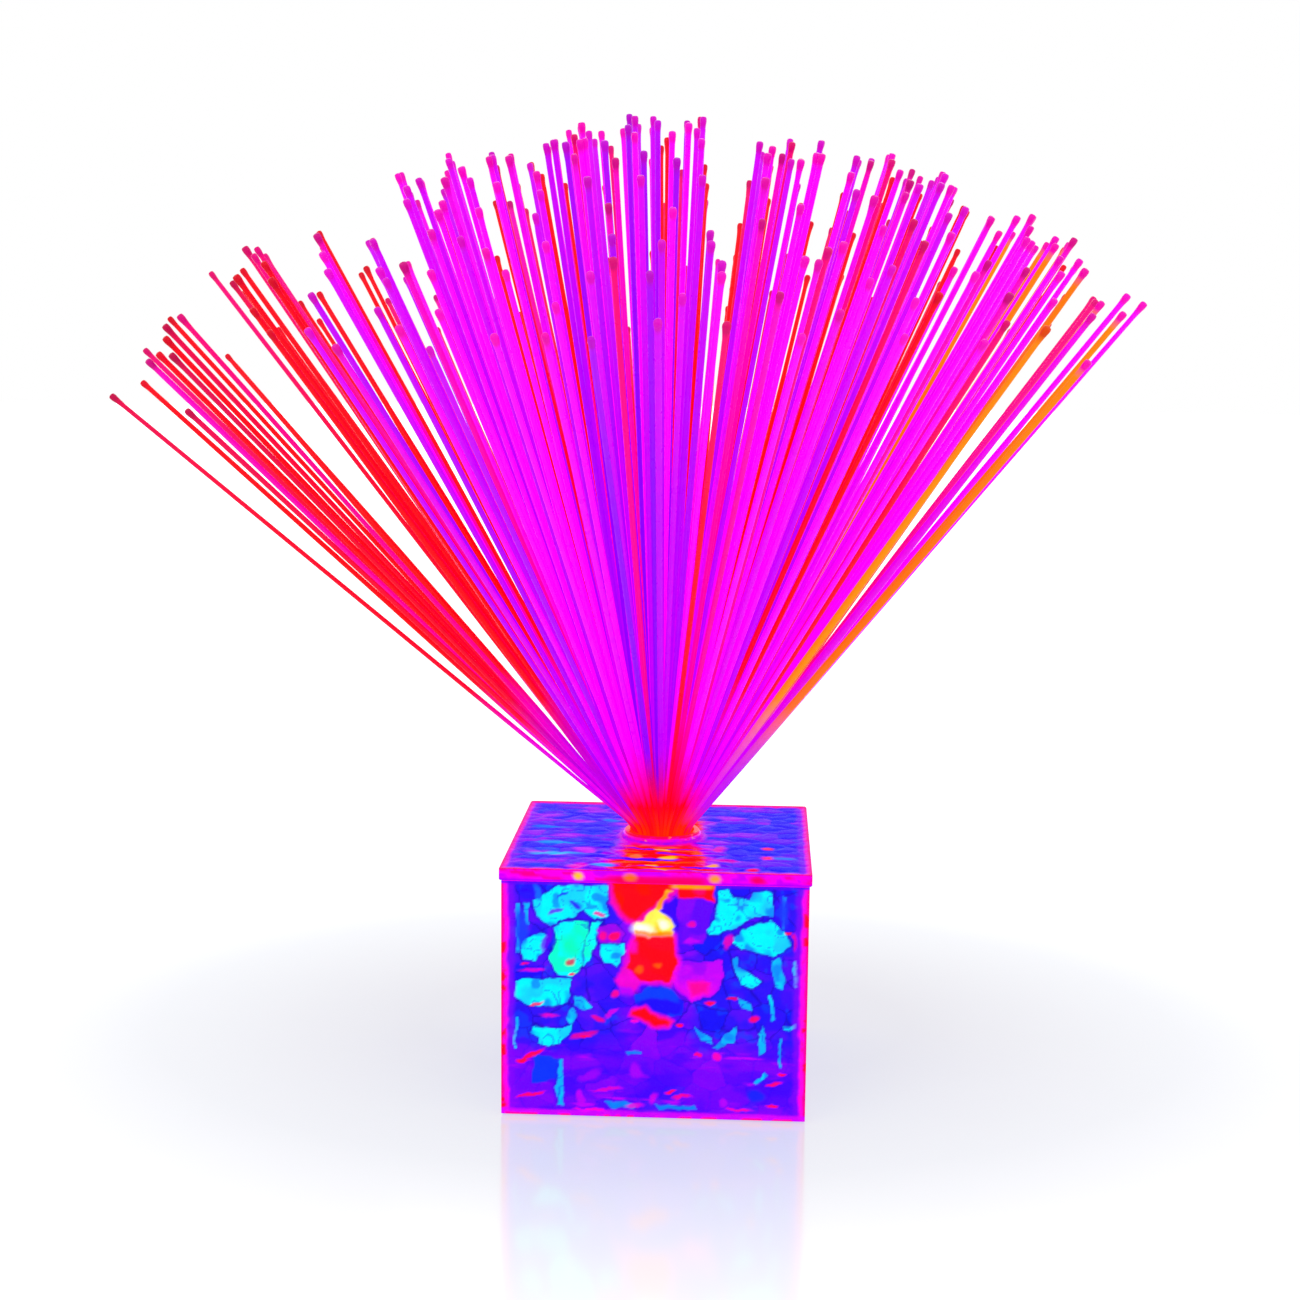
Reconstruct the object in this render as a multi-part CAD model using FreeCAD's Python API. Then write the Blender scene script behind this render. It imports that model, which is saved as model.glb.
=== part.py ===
import FreeCAD, Part
import math
import os

# Fibre optic table lamp: a glass box with a light source inside and a spray of
# end-lit fibres standing in a turning collar in its lid.
# Millimetres. Origin: centre of the footprint, on the surface that the lamp
# stands on. +Z up, front towards -Y.

# ---- driving dimensions -------------------------------------------------
BOX_W = 100.0              # glass box, outside, both ways
GLASS_T = 4.0              # wall and lid thickness
GLASS_Z0 = 0.8             # lower edge of the glass walls
WALL_Z1 = 79.6             # upper edge of the glass walls
LID_SEAL_T = 0.4
LID_OVERHANG = 0.8
LID_Z0 = WALL_Z1 + LID_SEAL_T
LID_Z1 = LID_Z0 + GLASS_T  # 84.0
HOLE_R = 13.1

FOOT_R, FOOT_H, FOOT_AT = 5.0, 2.0, 38.0
MID_FOOT_R = 4.4           # the fifth foot, in the middle, under the battery bay's edge
TONGUE_X, TONGUE_Y1 = 6.0, 5.2   # floor tongue that carries it, between the door's two knuckles

TRAY_HALF = 45.8
TRAY_Z0, TRAY_FLOOR, TRAY_Z1 = 2.0, 4.0, 28.0
TRAY_WALL = 1.8
BOSS_AT, BOSS_R, PILOT_R = 37.0, 3.4, 1.15
COVER_T = 2.0

BAY_X = 29.0               # half length of the battery bay
BAY_Y0, BAY_Y1 = -6.2, 41.0
BAY_WALL, BAY_Z1 = 1.2, 21.5
CELL_R, CELL_L = 7.1, 50.2
CELL_Y = (2.3, 17.4, 32.5)
CELL_Z = 11.4

DOOR_GAP = 0.3
DOOR_Z1 = 3.7
DOOR_HINGE_Y, DOOR_HINGE_Z, DOOR_KNUCKLE_R = -5.1, 2.85, 0.85
DOOR_PIN_R, DOOR_PIN_HOLE_R, DOOR_PIN_L = 0.60, 0.66, 1.1

SWITCH_Y = -30.0
SWITCH_TRAVEL = 4.0

BOARD_Z0, BOARD_T = 24.0, 1.6

POST_R, POST_BORE_R, POST_Z0, POST_Z1 = 6.0, 4.2, 30.0, 48.0
HOLDER_R, HOLDER_Z1 = 7.25, 58.0
LED_R, LED_Z0 = 4.0, 52.0

CUP_Z0, CUP_R0, CUP_Z1, CUP_R1, CUP_WALL = 60.0, 7.5, 80.0, 17.3, 1.2

GROMMET_BORE_R = 12.27
COLLAR_R, COLLAR_BORE_R = 12.20, 11.36
COLLAR_Z0, COLLAR_FLANGE_Z, COLLAR_Z1, COLLAR_FLANGE_R = 76.4, 84.7, 85.6, 13.4
FERRULE_R, FERRULE_BORE_R = 11.30, 10.10
FERRULE_Z0, FERRULE_RIM_Z, FERRULE_Z1 = 69.5, 85.65, 86.4
FERRULE_RIM_R, FERRULE_MOUTH_R = 12.9, 11.08
CORE_Z0 = 69.9

# fibres
FIBRE_COUNT = 400
FIBRE_D = 0.76
FIBRE_PITCH = 0.90         # centre to centre in the ferrule
FIBRE_Z0 = 80.0            # top face of the potted core
BEND_Z0 = 82.0             # the fibres are upright up to here
BEND_RISE = 8.0            # height over which each one bends to its own lean

# Tip of each fibre (x, y, z). The order is that of their places in the bundle, from the middle out.
FIBRE_TIPS = [
    (-6.8, 21.2, 325.2), (-0.6, 34.3, 323.7), (5.4, 7.7, 326.3), (-5.6, 24.1, 326.0),
    (11.2, -36.6, 323.6), (10.0, 21.8, 325.3), (-11.4, 13.3, 325.6), (-2.5, 39.9, 323.3),
    (-3.6, -38.9, 323.5), (4.3, 40.3, 323.9), (12.1, -39.3, 323.4), (40.1, 28.2, 322.2),
    (-24.5, 23.8, 324.1), (-16.8, 21.5, 324.8), (8.2, -57.6, 319.9), (-12.1, -22.8, 325.6),
    (39.7, -66.0, 313.7), (29.7, 34.2, 321.8), (50.3, 35.5, 318.9), (-5.3, 49.7, 321.3),
    (-12.5, 3.6, 325.8), (-22.8, 47.0, 320.9), (-1.5, -53.3, 321.0), (50.7, 18.9, 321.0),
    (8.2, 52.9, 320.4), (48.7, -54.7, 315.1), (-28.9, 25.1, 324.2), (68.0, 26.6, 315.7),
    (-35.2, 18.0, 323.9), (-27.9, 37.5, 322.5), (30.0, -72.5, 313.3), (30.5, 51.5, 319.5),
    (11.0, -64.1, 317.8), (-25.5, -46.8, 320.8), (-9.2, -41.9, 323.3), (-26.3, 64.4, 316.5),
    (33.7, 62.2, 315.7), (47.1, -73.3, 310.0), (-9.2, 64.3, 317.8), (63.9, 34.4, 315.8),
    (-30.2, 7.4, 324.5), (-37.9, 50.0, 318.8), (71.2, -41.0, 312.4), (72.5, -0.1, 315.0),
    (-7.4, -73.4, 315.7), (9.8, 69.2, 316.2), (-44.2, 36.6, 319.8), (-51.9, 50.8, 315.0),
    (63.5, -65.3, 308.4), (73.1, 26.0, 313.7), (12.8, -78.9, 313.5), (-40.7, 27.2, 321.5),
    (33.8, -77.1, 311.6), (-51.8, 54.0, 315.5), (-10.1, -61.2, 318.9), (44.3, 51.1, 317.1),
    (62.3, 55.2, 312.3), (-26.0, -67.2, 315.5), (1.3, 75.1, 314.7), (3.8, -71.9, 316.2),
    (-22.2, -74.7, 313.8), (-15.3, 77.2, 313.8), (43.7, 77.1, 310.2), (9.9, 87.6, 310.5),
    (59.2, -66.6, 309.8), (76.2, 39.8, 310.2), (70.3, -56.8, 309.4), (-62.6, 26.7, 317.0),
    (72.1, -69.7, 305.5), (81.6, 21.1, 311.8), (-49.2, 66.1, 312.2), (-63.4, 46.4, 313.8),
    (-16.0, -78.9, 312.8), (-56.9, 35.0, 317.1), (-58.3, 68.8, 308.9), (26.1, 80.8, 311.3),
    (75.1, -72.7, 302.3), (36.7, -83.3, 309.0), (84.7, 25.7, 309.8), (6.2, -95.8, 306.7),
    (73.4, 64.4, 306.6), (-34.0, -72.8, 312.4), (-28.0, -74.1, 312.7), (42.2, -83.0, 307.4),
    (-73.5, 32.3, 312.5), (49.9, 61.6, 312.8), (-14.7, 91.3, 308.6), (-62.7, 82.4, 303.3),
    (81.0, 38.8, 309.7), (-1.7, 86.4, 310.6), (-31.8, -71.1, 313.6), (-3.7, -90.5, 309.0),
    (-27.5, 86.1, 309.7), (-23.6, -75.7, 313.3), (60.4, 75.9, 306.9), (87.3, -47.4, 305.9),
    (89.7, -7.5, 309.1), (33.0, 92.5, 305.5), (48.5, -75.9, 309.6), (91.7, 37.3, 305.3),
    (-79.2, 34.9, 311.2), (84.9, -63.9, 302.1), (-74.1, 1.9, 314.8), (-83.0, 51.6, 305.8),
    (88.6, 24.6, 308.3), (-42.0, 79.6, 309.8), (-24.0, -90.5, 308.0), (-88.3, 34.1, 307.7),
    (-67.7, 79.7, 303.3), (32.4, -85.9, 308.9), (45.3, 90.7, 303.8), (39.3, -88.6, 307.1),
    (-50.7, -76.9, 308.1), (74.4, 71.9, 303.0), (72.7, -90.5, 297.7), (86.3, 50.0, 305.4),
    (14.0, -107.7, 301.1), (-49.9, -75.3, 308.6), (96.3, 23.3, 306.1), (-6.0, 100.9, 304.0),
    (-43.9, -84.4, 307.8), (-24.4, 106.8, 301.0), (62.0, 89.2, 301.3), (56.9, -86.2, 303.6),
    (-75.5, 20.3, 313.4), (9.4, 99.8, 305.3), (96.3, 38.6, 303.1), (-57.9, 91.8, 301.0),
    (-63.8, -69.8, 307.9), (109.6, -49.3, 293.2), (-37.7, 92.7, 304.8), (-11.7, -94.2, 306.7),
    (-34.0, -100.6, 302.3), (88.0, -62.9, 301.5), (115.1, -42.3, 294.0), (57.2, 102.9, 295.4),
    (31.0, 102.8, 301.6), (-93.7, 64.3, 298.8), (63.2, -100.7, 296.1), (101.0, 40.8, 300.7),
    (-92.9, 54.4, 302.0), (-74.8, 66.0, 305.2), (77.5, -77.5, 300.9), (-90.8, 6.7, 308.6),
    (90.0, 14.5, 308.8), (-50.6, 111.8, 293.0), (31.9, -105.5, 300.6), (-31.8, -112.0, 296.4),
    (-93.5, 41.7, 304.1), (6.5, -127.2, 291.0), (-80.1, 85.7, 296.5), (90.1, 61.6, 300.1),
    (-62.5, -87.7, 301.2), (41.9, -115.9, 292.8), (-53.8, -96.8, 300.6), (78.0, 85.3, 297.7),
    (49.3, 105.2, 297.7), (0.0, 113.3, 298.6), (101.4, 64.6, 295.5), (22.6, 111.5, 297.1),
    (-58.1, -83.0, 304.6), (-3.5, -108.1, 300.9), (74.4, -104.1, 289.4), (-45.3, -103.1, 299.0),
    (110.2, 36.3, 297.1), (-19.3, 116.3, 296.8), (65.3, 102.1, 293.5), (58.1, -99.1, 297.9),
    (33.3, 117.0, 293.3), (-138.4, 9.6, 281.2), (102.7, 46.5, 299.5), (99.2, -75.3, 291.6),
    (111.5, -69.5, 289.3), (-65.4, 105.2, 292.4), (-80.9, -60.2, 304.0), (-37.7, 110.4, 297.2),
    (-18.8, -106.7, 300.5), (90.9, -80.5, 294.2), (-48.7, -116.7, 291.1), (117.5, -24.3, 294.6),
    (-111.5, 67.8, 288.8), (-86.5, 74.3, 298.9), (61.9, 117.5, 286.4), (40.9, 128.0, 286.2),
    (65.1, -117.0, 287.1), (-112.8, 66.4, 288.0), (-92.6, 86.5, 290.3), (114.3, 45.7, 292.4),
    (85.3, -90.9, 291.9), (4.2, -141.5, 281.6), (120.1, 9.7, 294.0), (17.1, -135.7, 284.5),
    (-123.4, -66.8, 281.2), (-72.4, -96.3, 294.4), (-51.1, 124.8, 285.5), (90.1, 91.0, 290.4),
    (-9.5, -138.5, 283.2), (93.2, 75.9, 294.9), (-74.1, -85.7, 298.8), (-124.3, 33.5, 290.0),
    (-31.8, -124.8, 289.3), (-60.4, -106.9, 293.5), (-8.6, 120.3, 294.5), (-89.8, 99.4, 286.8),
    (31.2, -127.1, 288.1), (74.9, 95.4, 294.2), (-19.3, 125.9, 290.8), (115.4, 64.6, 287.9),
    (11.3, 121.6, 294.8), (47.0, 116.8, 291.5), (-70.9, -82.6, 301.3), (-11.6, -122.9, 292.3),
    (85.1, -103.9, 285.9), (-29.6, 134.0, 284.3), (-61.0, -111.4, 290.7), (111.2, -76.5, 284.7),
    (118.2, 38.7, 291.9), (62.0, 125.3, 278.6), (53.8, -125.8, 282.1), (100.3, -86.4, 287.0),
    (20.7, 133.3, 285.9), (119.7, -64.8, 284.3), (-144.6, 3.5, 276.2), (124.6, 56.3, 284.9),
    (-78.7, 101.1, 289.5), (-116.8, 83.6, 279.0), (-116.3, -89.0, 276.3), (-125.8, 68.6, 279.6),
    (95.3, -109.3, 277.9), (-102.6, 93.1, 281.2), (-34.8, 121.7, 290.5), (121.3, -52.0, 286.9),
    (-27.6, -138.3, 281.1), (-52.1, -129.8, 282.6), (49.1, 135.3, 278.2), (32.6, 138.4, 280.6),
    (-126.3, 48.8, 285.5), (17.5, -140.4, 281.5), (-105.3, 104.8, 275.7), (76.8, -116.1, 282.9),
    (1.6, -151.9, 273.1), (126.2, 38.2, 287.2), (20.6, -145.5, 276.1), (98.6, 97.5, 282.6),
    (-79.2, -114.2, 282.3), (85.1, -116.8, 275.8), (-75.9, -123.2, 274.1), (81.2, 105.3, 286.5),
    (127.3, 16.8, 287.6), (-128.5, -60.6, 281.5), (103.1, 82.6, 287.2), (-12.0, 132.0, 287.1),
    (-8.7, -144.9, 276.8), (-99.3, -94.4, 284.4), (0.7, 140.7, 281.6), (-71.7, 117.4, 284.2),
    (-61.4, -122.3, 284.7), (-143.7, 31.2, 277.6), (-36.7, 149.1, 272.3), (43.1, -134.4, 277.8),
    (84.4, 119.3, 278.2), (-59.0, -139.0, 273.2), (-92.7, 111.6, 278.8), (13.7, 135.7, 284.2),
    (124.4, 71.5, 279.9), (55.0, 141.9, 273.4), (-123.4, -94.0, 272.2), (108.8, -84.4, 285.4),
    (120.3, -72.4, 280.4), (-37.4, -148.2, 273.2), (-44.0, 137.6, 278.2), (-67.6, -132.6, 275.3),
    (80.0, -131.0, 268.5), (107.0, -101.9, 276.2), (133.4, 16.7, 285.8), (73.9, 128.6, 278.7),
    (127.1, -64.5, 279.8), (15.2, 141.9, 280.1), (49.2, -137.1, 280.1), (-133.2, 76.5, 269.3),
    (-126.7, 89.1, 270.8), (140.6, 63.4, 270.8), (-155.6, 4.5, 275.0), (-82.5, 124.1, 276.2),
    (-143.8, 55.5, 271.4), (-122.2, -76.3, 278.9), (-119.8, 89.6, 276.8), (100.3, -121.4, 268.7),
    (127.2, -50.1, 286.6), (-52.8, 147.5, 269.8), (-44.2, -137.2, 279.2), (-71.6, -137.2, 270.9),
    (10.5, -156.1, 267.2), (20.7, -151.3, 273.0), (-152.3, 38.9, 269.5), (64.4, 148.3, 263.5),
    (-113.0, -118.8, 262.6), (-14.1, -154.9, 272.7), (99.4, 110.8, 275.7), (35.2, 149.7, 272.3),
    (-113.0, 108.3, 267.5), (111.9, 93.7, 277.7), (-94.3, -111.2, 278.6), (66.9, -132.9, 275.7),
    (36.3, -153.1, 267.9), (-89.5, -128.1, 273.4), (-17.3, 147.0, 276.1), (94.2, 123.5, 270.0),
    (136.7, 42.7, 280.7), (-18.6, 158.9, 266.6), (90.2, -127.1, 274.3), (120.0, 83.4, 276.0),
    (4.0, 151.4, 273.2), (-110.1, -107.3, 271.2), (133.6, 9.5, 287.3), (-22.8, -160.5, 264.6),
    (-166.4, -9.4, 259.7), (-93.7, -130.7, 266.8), (-32.0, 160.2, 264.3), (-63.9, 130.7, 278.1),
    (74.3, 137.1, 270.1), (46.6, -144.3, 276.7), (-152.0, 19.4, 272.2), (118.2, -91.3, 275.4),
    (-88.1, 134.7, 265.9), (17.5, 158.8, 266.0), (-65.2, -155.1, 258.1), (133.5, 78.5, 270.7),
    (113.8, -111.7, 267.4), (126.8, -79.0, 276.6), (-141.9, -88.6, 260.5), (55.1, 154.9, 263.2),
    (-54.7, -154.3, 262.5), (-43.6, 154.8, 265.4), (-137.2, 95.5, 259.4), (-92.1, -143.6, 257.1),
    (110.0, -127.4, 259.6), (72.6, -146.5, 266.8), (141.8, -64.2, 269.5), (-141.4, 81.1, 265.9),
    (-124.9, 104.5, 264.6), (77.4, 148.4, 259.3), (148.6, 45.2, 268.9), (19.4, 150.3, 273.9),
    (60.6, -141.6, 272.0), (147.6, 74.7, 261.8), (-152.7, 61.5, 262.0), (-178.4, 2.8, 248.9),
    (-117.2, 124.9, 258.4), (-75.3, 139.5, 267.8), (4.7, -170.0, 260.5), (-147.6, -84.2, 257.5),
    (98.3, -133.9, 261.1), (-12.5, -171.1, 255.8), (147.6, -59.6, 267.2), (-66.2, 150.8, 262.8),
    (22.5, -166.0, 259.9), (109.1, 109.0, 270.8), (-144.6, -103.0, 249.5), (-55.6, -164.4, 252.8),
    (-138.4, -111.8, 249.4), (-72.4, -146.8, 262.9), (114.3, 120.8, 261.1), (126.8, 111.7, 258.1),
    (-24.7, -168.5, 256.6), (-148.3, -101.1, 247.4), (-8.2, 165.8, 260.4), (-166.4, 69.2, 246.1),
    (-6.9, 156.9, 268.6), (67.1, 159.7, 255.9), (-96.4, 123.6, 269.0), (-104.4, -135.9, 256.5),
    (43.0, 161.2, 260.3), (42.1, -164.6, 257.1), (105.0, 133.5, 256.8), (-23.5, 167.8, 257.3),
    (69.4, -154.4, 257.3), (124.8, 96.7, 269.1), (6.7, 169.4, 257.7), (148.8, 51.4, 269.9),
    (91.4, -144.7, 255.9), (-144.1, -97.0, 254.0), (-38.2, -166.9, 256.2), (138.9, 31.0, 280.0),
    (-125.7, -143.7, 234.8), (-192.1, 8.6, 233.0), (-50.0, 163.5, 257.6), (125.9, -103.6, 263.4),
    (130.0, -91.8, 267.0), (87.8, 138.8, 264.8), (-84.6, 147.1, 258.0), (52.3, -154.7, 263.4),
    (-186.3, 26.7, 237.2), (28.4, 168.6, 256.8), (121.6, -126.9, 250.5), (136.7, -89.8, 264.0),
    (-98.2, 138.8, 256.3), (138.7, 93.4, 261.0), (-82.4, -154.7, 252.9), (-150.3, 83.4, 256.0),
]

OUT = "parts"
V = FreeCAD.Vector
UP = V(0, 0, 1)


# ---- helpers --------------------------------------------------------------
def box(x0, x1, y0, y1, z0, z1):
    return Part.makeBox(x1 - x0, y1 - y0, z1 - z0, V(x0, y0, z0))


def cyl(r, z0, z1, x=0.0, y=0.0):
    return Part.makeCylinder(r, z1 - z0, V(x, y, z0), UP)


def ring(r0, r1, z0, z1, x=0.0, y=0.0):
    return cyl(r1, z0, z1, x, y).cut(cyl(r0, z0 - 1, z1 + 1, x, y))


def turned(profile):
    """Solid of revolution about Z from (r, z) points."""
    pts = [V(r, 0, z) for r, z in profile]
    wire = Part.makePolygon(pts + [pts[0]])
    return Part.Face(wire).revolve(V(0, 0, 0), UP, 360)


def soften(shape, radius, pick):
    """Rounds the edges for which pick(edge) is true."""
    edges = [e for e in shape.Edges if pick(e)]
    return shape.makeFillet(radius, edges) if edges else shape


def upright(edge):
    t = edge.tangentAt(edge.FirstParameter)
    return abs(t.z) > 0.99


def save(name, shape):
    solids = shape.Solids
    for s in solids:
        if not s.isValid():
            raise ValueError(name + ": a solid is not valid")
    if len(solids) > 1:
        shape = Part.makeCompound(solids)
    elif len(solids) == 1:
        shape = solids[0]
    else:
        raise ValueError(name + ": no solid")
    shape.exportStep(os.path.join(OUT, name + ".step"))


def tube(points, radius, bend):
    """Round wire along straight runs that are joined by tangent arcs."""
    pts = [V(*p) for p in points]
    edges, start = [], pts[0]
    for i in range(1, len(pts) - 1):
        a, b = (pts[i - 1] - pts[i]), (pts[i + 1] - pts[i])
        a.normalize()
        b.normalize()
        half = a.getAngle(b) / 2
        back = bend / math.tan(half)
        p, q = pts[i] + a * back, pts[i] + b * back
        m = (a + b)
        m.normalize()
        centre = pts[i] + m * (bend / math.sin(half))
        mid = centre - m * bend
        edges.append(Part.LineSegment(start, p).toShape())
        edges.append(Part.Arc(p, mid, q).toShape())
        start = q
    edges.append(Part.LineSegment(start, pts[-1]).toShape())
    wire = Part.Wire(edges)
    d = pts[1] - pts[0]
    prof = Part.Wire([Part.makeCircle(radius, pts[0], d)])
    return wire.makePipeShell([prof], True, False)


# ---- fibre layout ----------------------------------------------------------
def bundle_places(n):
    """n places of a hexagonal packing, nearest the middle first."""
    pts = []
    for j in range(-13, 14):
        for i in range(-13, 14):
            x = (i + .5 * (j % 2)) * FIBRE_PITCH
            y = j * FIBRE_PITCH * math.sqrt(3) / 2
            pts.append((math.hypot(x - .27, y - .31), x, y))
    pts.sort()
    cx = sum(p[1] for p in pts[:n]) / n
    cy = sum(p[2] for p in pts[:n]) / n
    return [(p[1] - cx, p[2] - cy) for p in pts[:n]]


def bend_of(place, tip):
    """(lean, direction, arc radius) of the fibre from place to tip."""
    run = math.hypot(tip[0] - place[0], tip[1] - place[1])
    rise = tip[2] - BEND_Z0
    lo, hi = 0.0, 1.4
    for _ in range(50):
        m = (lo + hi) / 2
        if math.tan(m) * (rise - BEND_RISE) + BEND_RISE * math.tan(m / 2) < run:
            lo = m
        else:
            hi = m
    lean = max((lo + hi) / 2, 0.002)
    turn = math.atan2(tip[1] - place[1], tip[0] - place[0])
    return lean, turn, BEND_RISE / math.sin(lean)


def bend_end(place, tip):
    lean, turn, r = bend_of(place, tip)
    h = r * (1 - math.cos(lean))
    return (place[0] + math.cos(turn) * h, place[1] + math.sin(turn) * h, BEND_Z0 + BEND_RISE)


def nearest(p1, q1, p2, q2):
    """Closest points of two segments: distance, share along each, and gap vector."""
    d1 = (q1[0] - p1[0], q1[1] - p1[1], q1[2] - p1[2])
    d2 = (q2[0] - p2[0], q2[1] - p2[1], q2[2] - p2[2])
    r = (p1[0] - p2[0], p1[1] - p2[1], p1[2] - p2[2])
    a = d1[0] ** 2 + d1[1] ** 2 + d1[2] ** 2
    e = d2[0] ** 2 + d2[1] ** 2 + d2[2] ** 2
    f = d2[0] * r[0] + d2[1] * r[1] + d2[2] * r[2]
    c = d1[0] * r[0] + d1[1] * r[1] + d1[2] * r[2]
    b = d1[0] * d2[0] + d1[1] * d2[1] + d1[2] * d2[2]
    den = a * e - b * b
    s = min(1.0, max(0.0, (b * f - c * e) / den)) if den > 1e-9 else 0.0
    t = (b * s + f) / e
    if t < 0:
        t, s = 0.0, min(1.0, max(0.0, -c / a))
    elif t > 1:
        t, s = 1.0, min(1.0, max(0.0, (b - c) / a))
    g = (r[0] + d1[0] * s - d2[0] * t, r[1] + d1[1] * s - d2[1] * t, r[2] + d1[2] * s - d2[2] * t)
    return math.sqrt(g[0] ** 2 + g[1] ** 2 + g[2] ** 2), s, t, g


def least_air(places, tips):
    """Smallest air between the straight runs of any two fibres."""
    ends = [bend_end(p, t) for p, t in zip(places, tips)]
    least = 99.0
    for i in range(len(tips)):
        for k in range(i + 1, len(tips)):
            least = min(least, nearest(ends[i], tips[i], ends[k], tips[k])[0])
    return least - FIBRE_D


def fibre(place, tip):
    lean, turn, r = bend_of(place, tip)
    c, s = math.cos(turn), math.sin(turn)

    def at(angle):
        h = r * (1 - math.cos(angle))
        return V(place[0] + c * h, place[1] + s * h, BEND_Z0 + r * math.sin(angle))

    a, b = V(place[0], place[1], FIBRE_Z0), V(place[0], place[1], BEND_Z0)
    wire = Part.Wire([Part.LineSegment(a, b).toShape(),
                      Part.Arc(b, at(lean / 2), at(lean)).toShape(),
                      Part.LineSegment(at(lean), V(*tip)).toShape()])
    prof = Part.Wire([Part.makeCircle(FIBRE_D / 2, a, UP)])
    return wire.makePipeShell([prof], True, False)


# ---- glass box --------------------------------------------------------------
def glass_box():
    h, t = BOX_W / 2, GLASS_T
    rim = lambda s: s.makeChamfer(0.35, [e for e in s.Edges if abs(e.Length - (WALL_Z1 - GLASS_Z0)) < 1e-6])
    save("glass_front", rim(box(-h, h, -h, -h + t, GLASS_Z0, WALL_Z1)))
    save("glass_back", rim(box(-h, h, h - t, h, GLASS_Z0, WALL_Z1)))
    save("glass_left", box(-h, -h + t, -h + t, h - t, GLASS_Z0, WALL_Z1))
    save("glass_right", box(h - t, h, -h + t, h - t, GLASS_Z0, WALL_Z1))
    o = h + LID_OVERHANG
    lid = box(-o, o, -o, o, LID_Z0, LID_Z1)
    lid = soften(lid, 0.8, upright)
    lid = lid.makeChamfer(0.3, [e for e in lid.Edges if abs(e.BoundBox.ZMin - LID_Z1) < 1e-6 and abs(e.BoundBox.ZMax - LID_Z1) < 1e-6])
    lid = lid.cut(cyl(HOLE_R, LID_Z0 - 1, LID_Z1 + 1))
    save("glass_lid", lid)
    outer = box(-h + .4, h - .4, -h + .4, h - .4, WALL_Z1, LID_Z0)
    save("lid_seal", outer.cut(box(-h + 3.6, h - 3.6, -h + 3.6, h - 3.6, WALL_Z1 - 1, LID_Z0 + 1)))
    i = h - t
    beads = []
    for sx in (-1, 1):
        for sy in (-1, 1):
            tri = Part.makePolygon([V(sx * i, sy * i, 31), V(sx * (i - 1.6), sy * i, 31),
                                    V(sx * i, sy * (i - 1.6), 31), V(sx * i, sy * i, 31)])
            beads.append(Part.Face(tri).extrude(V(0, 0, WALL_Z1 - 31.5)))
    save("corner_seals", Part.makeCompound(beads))


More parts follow.
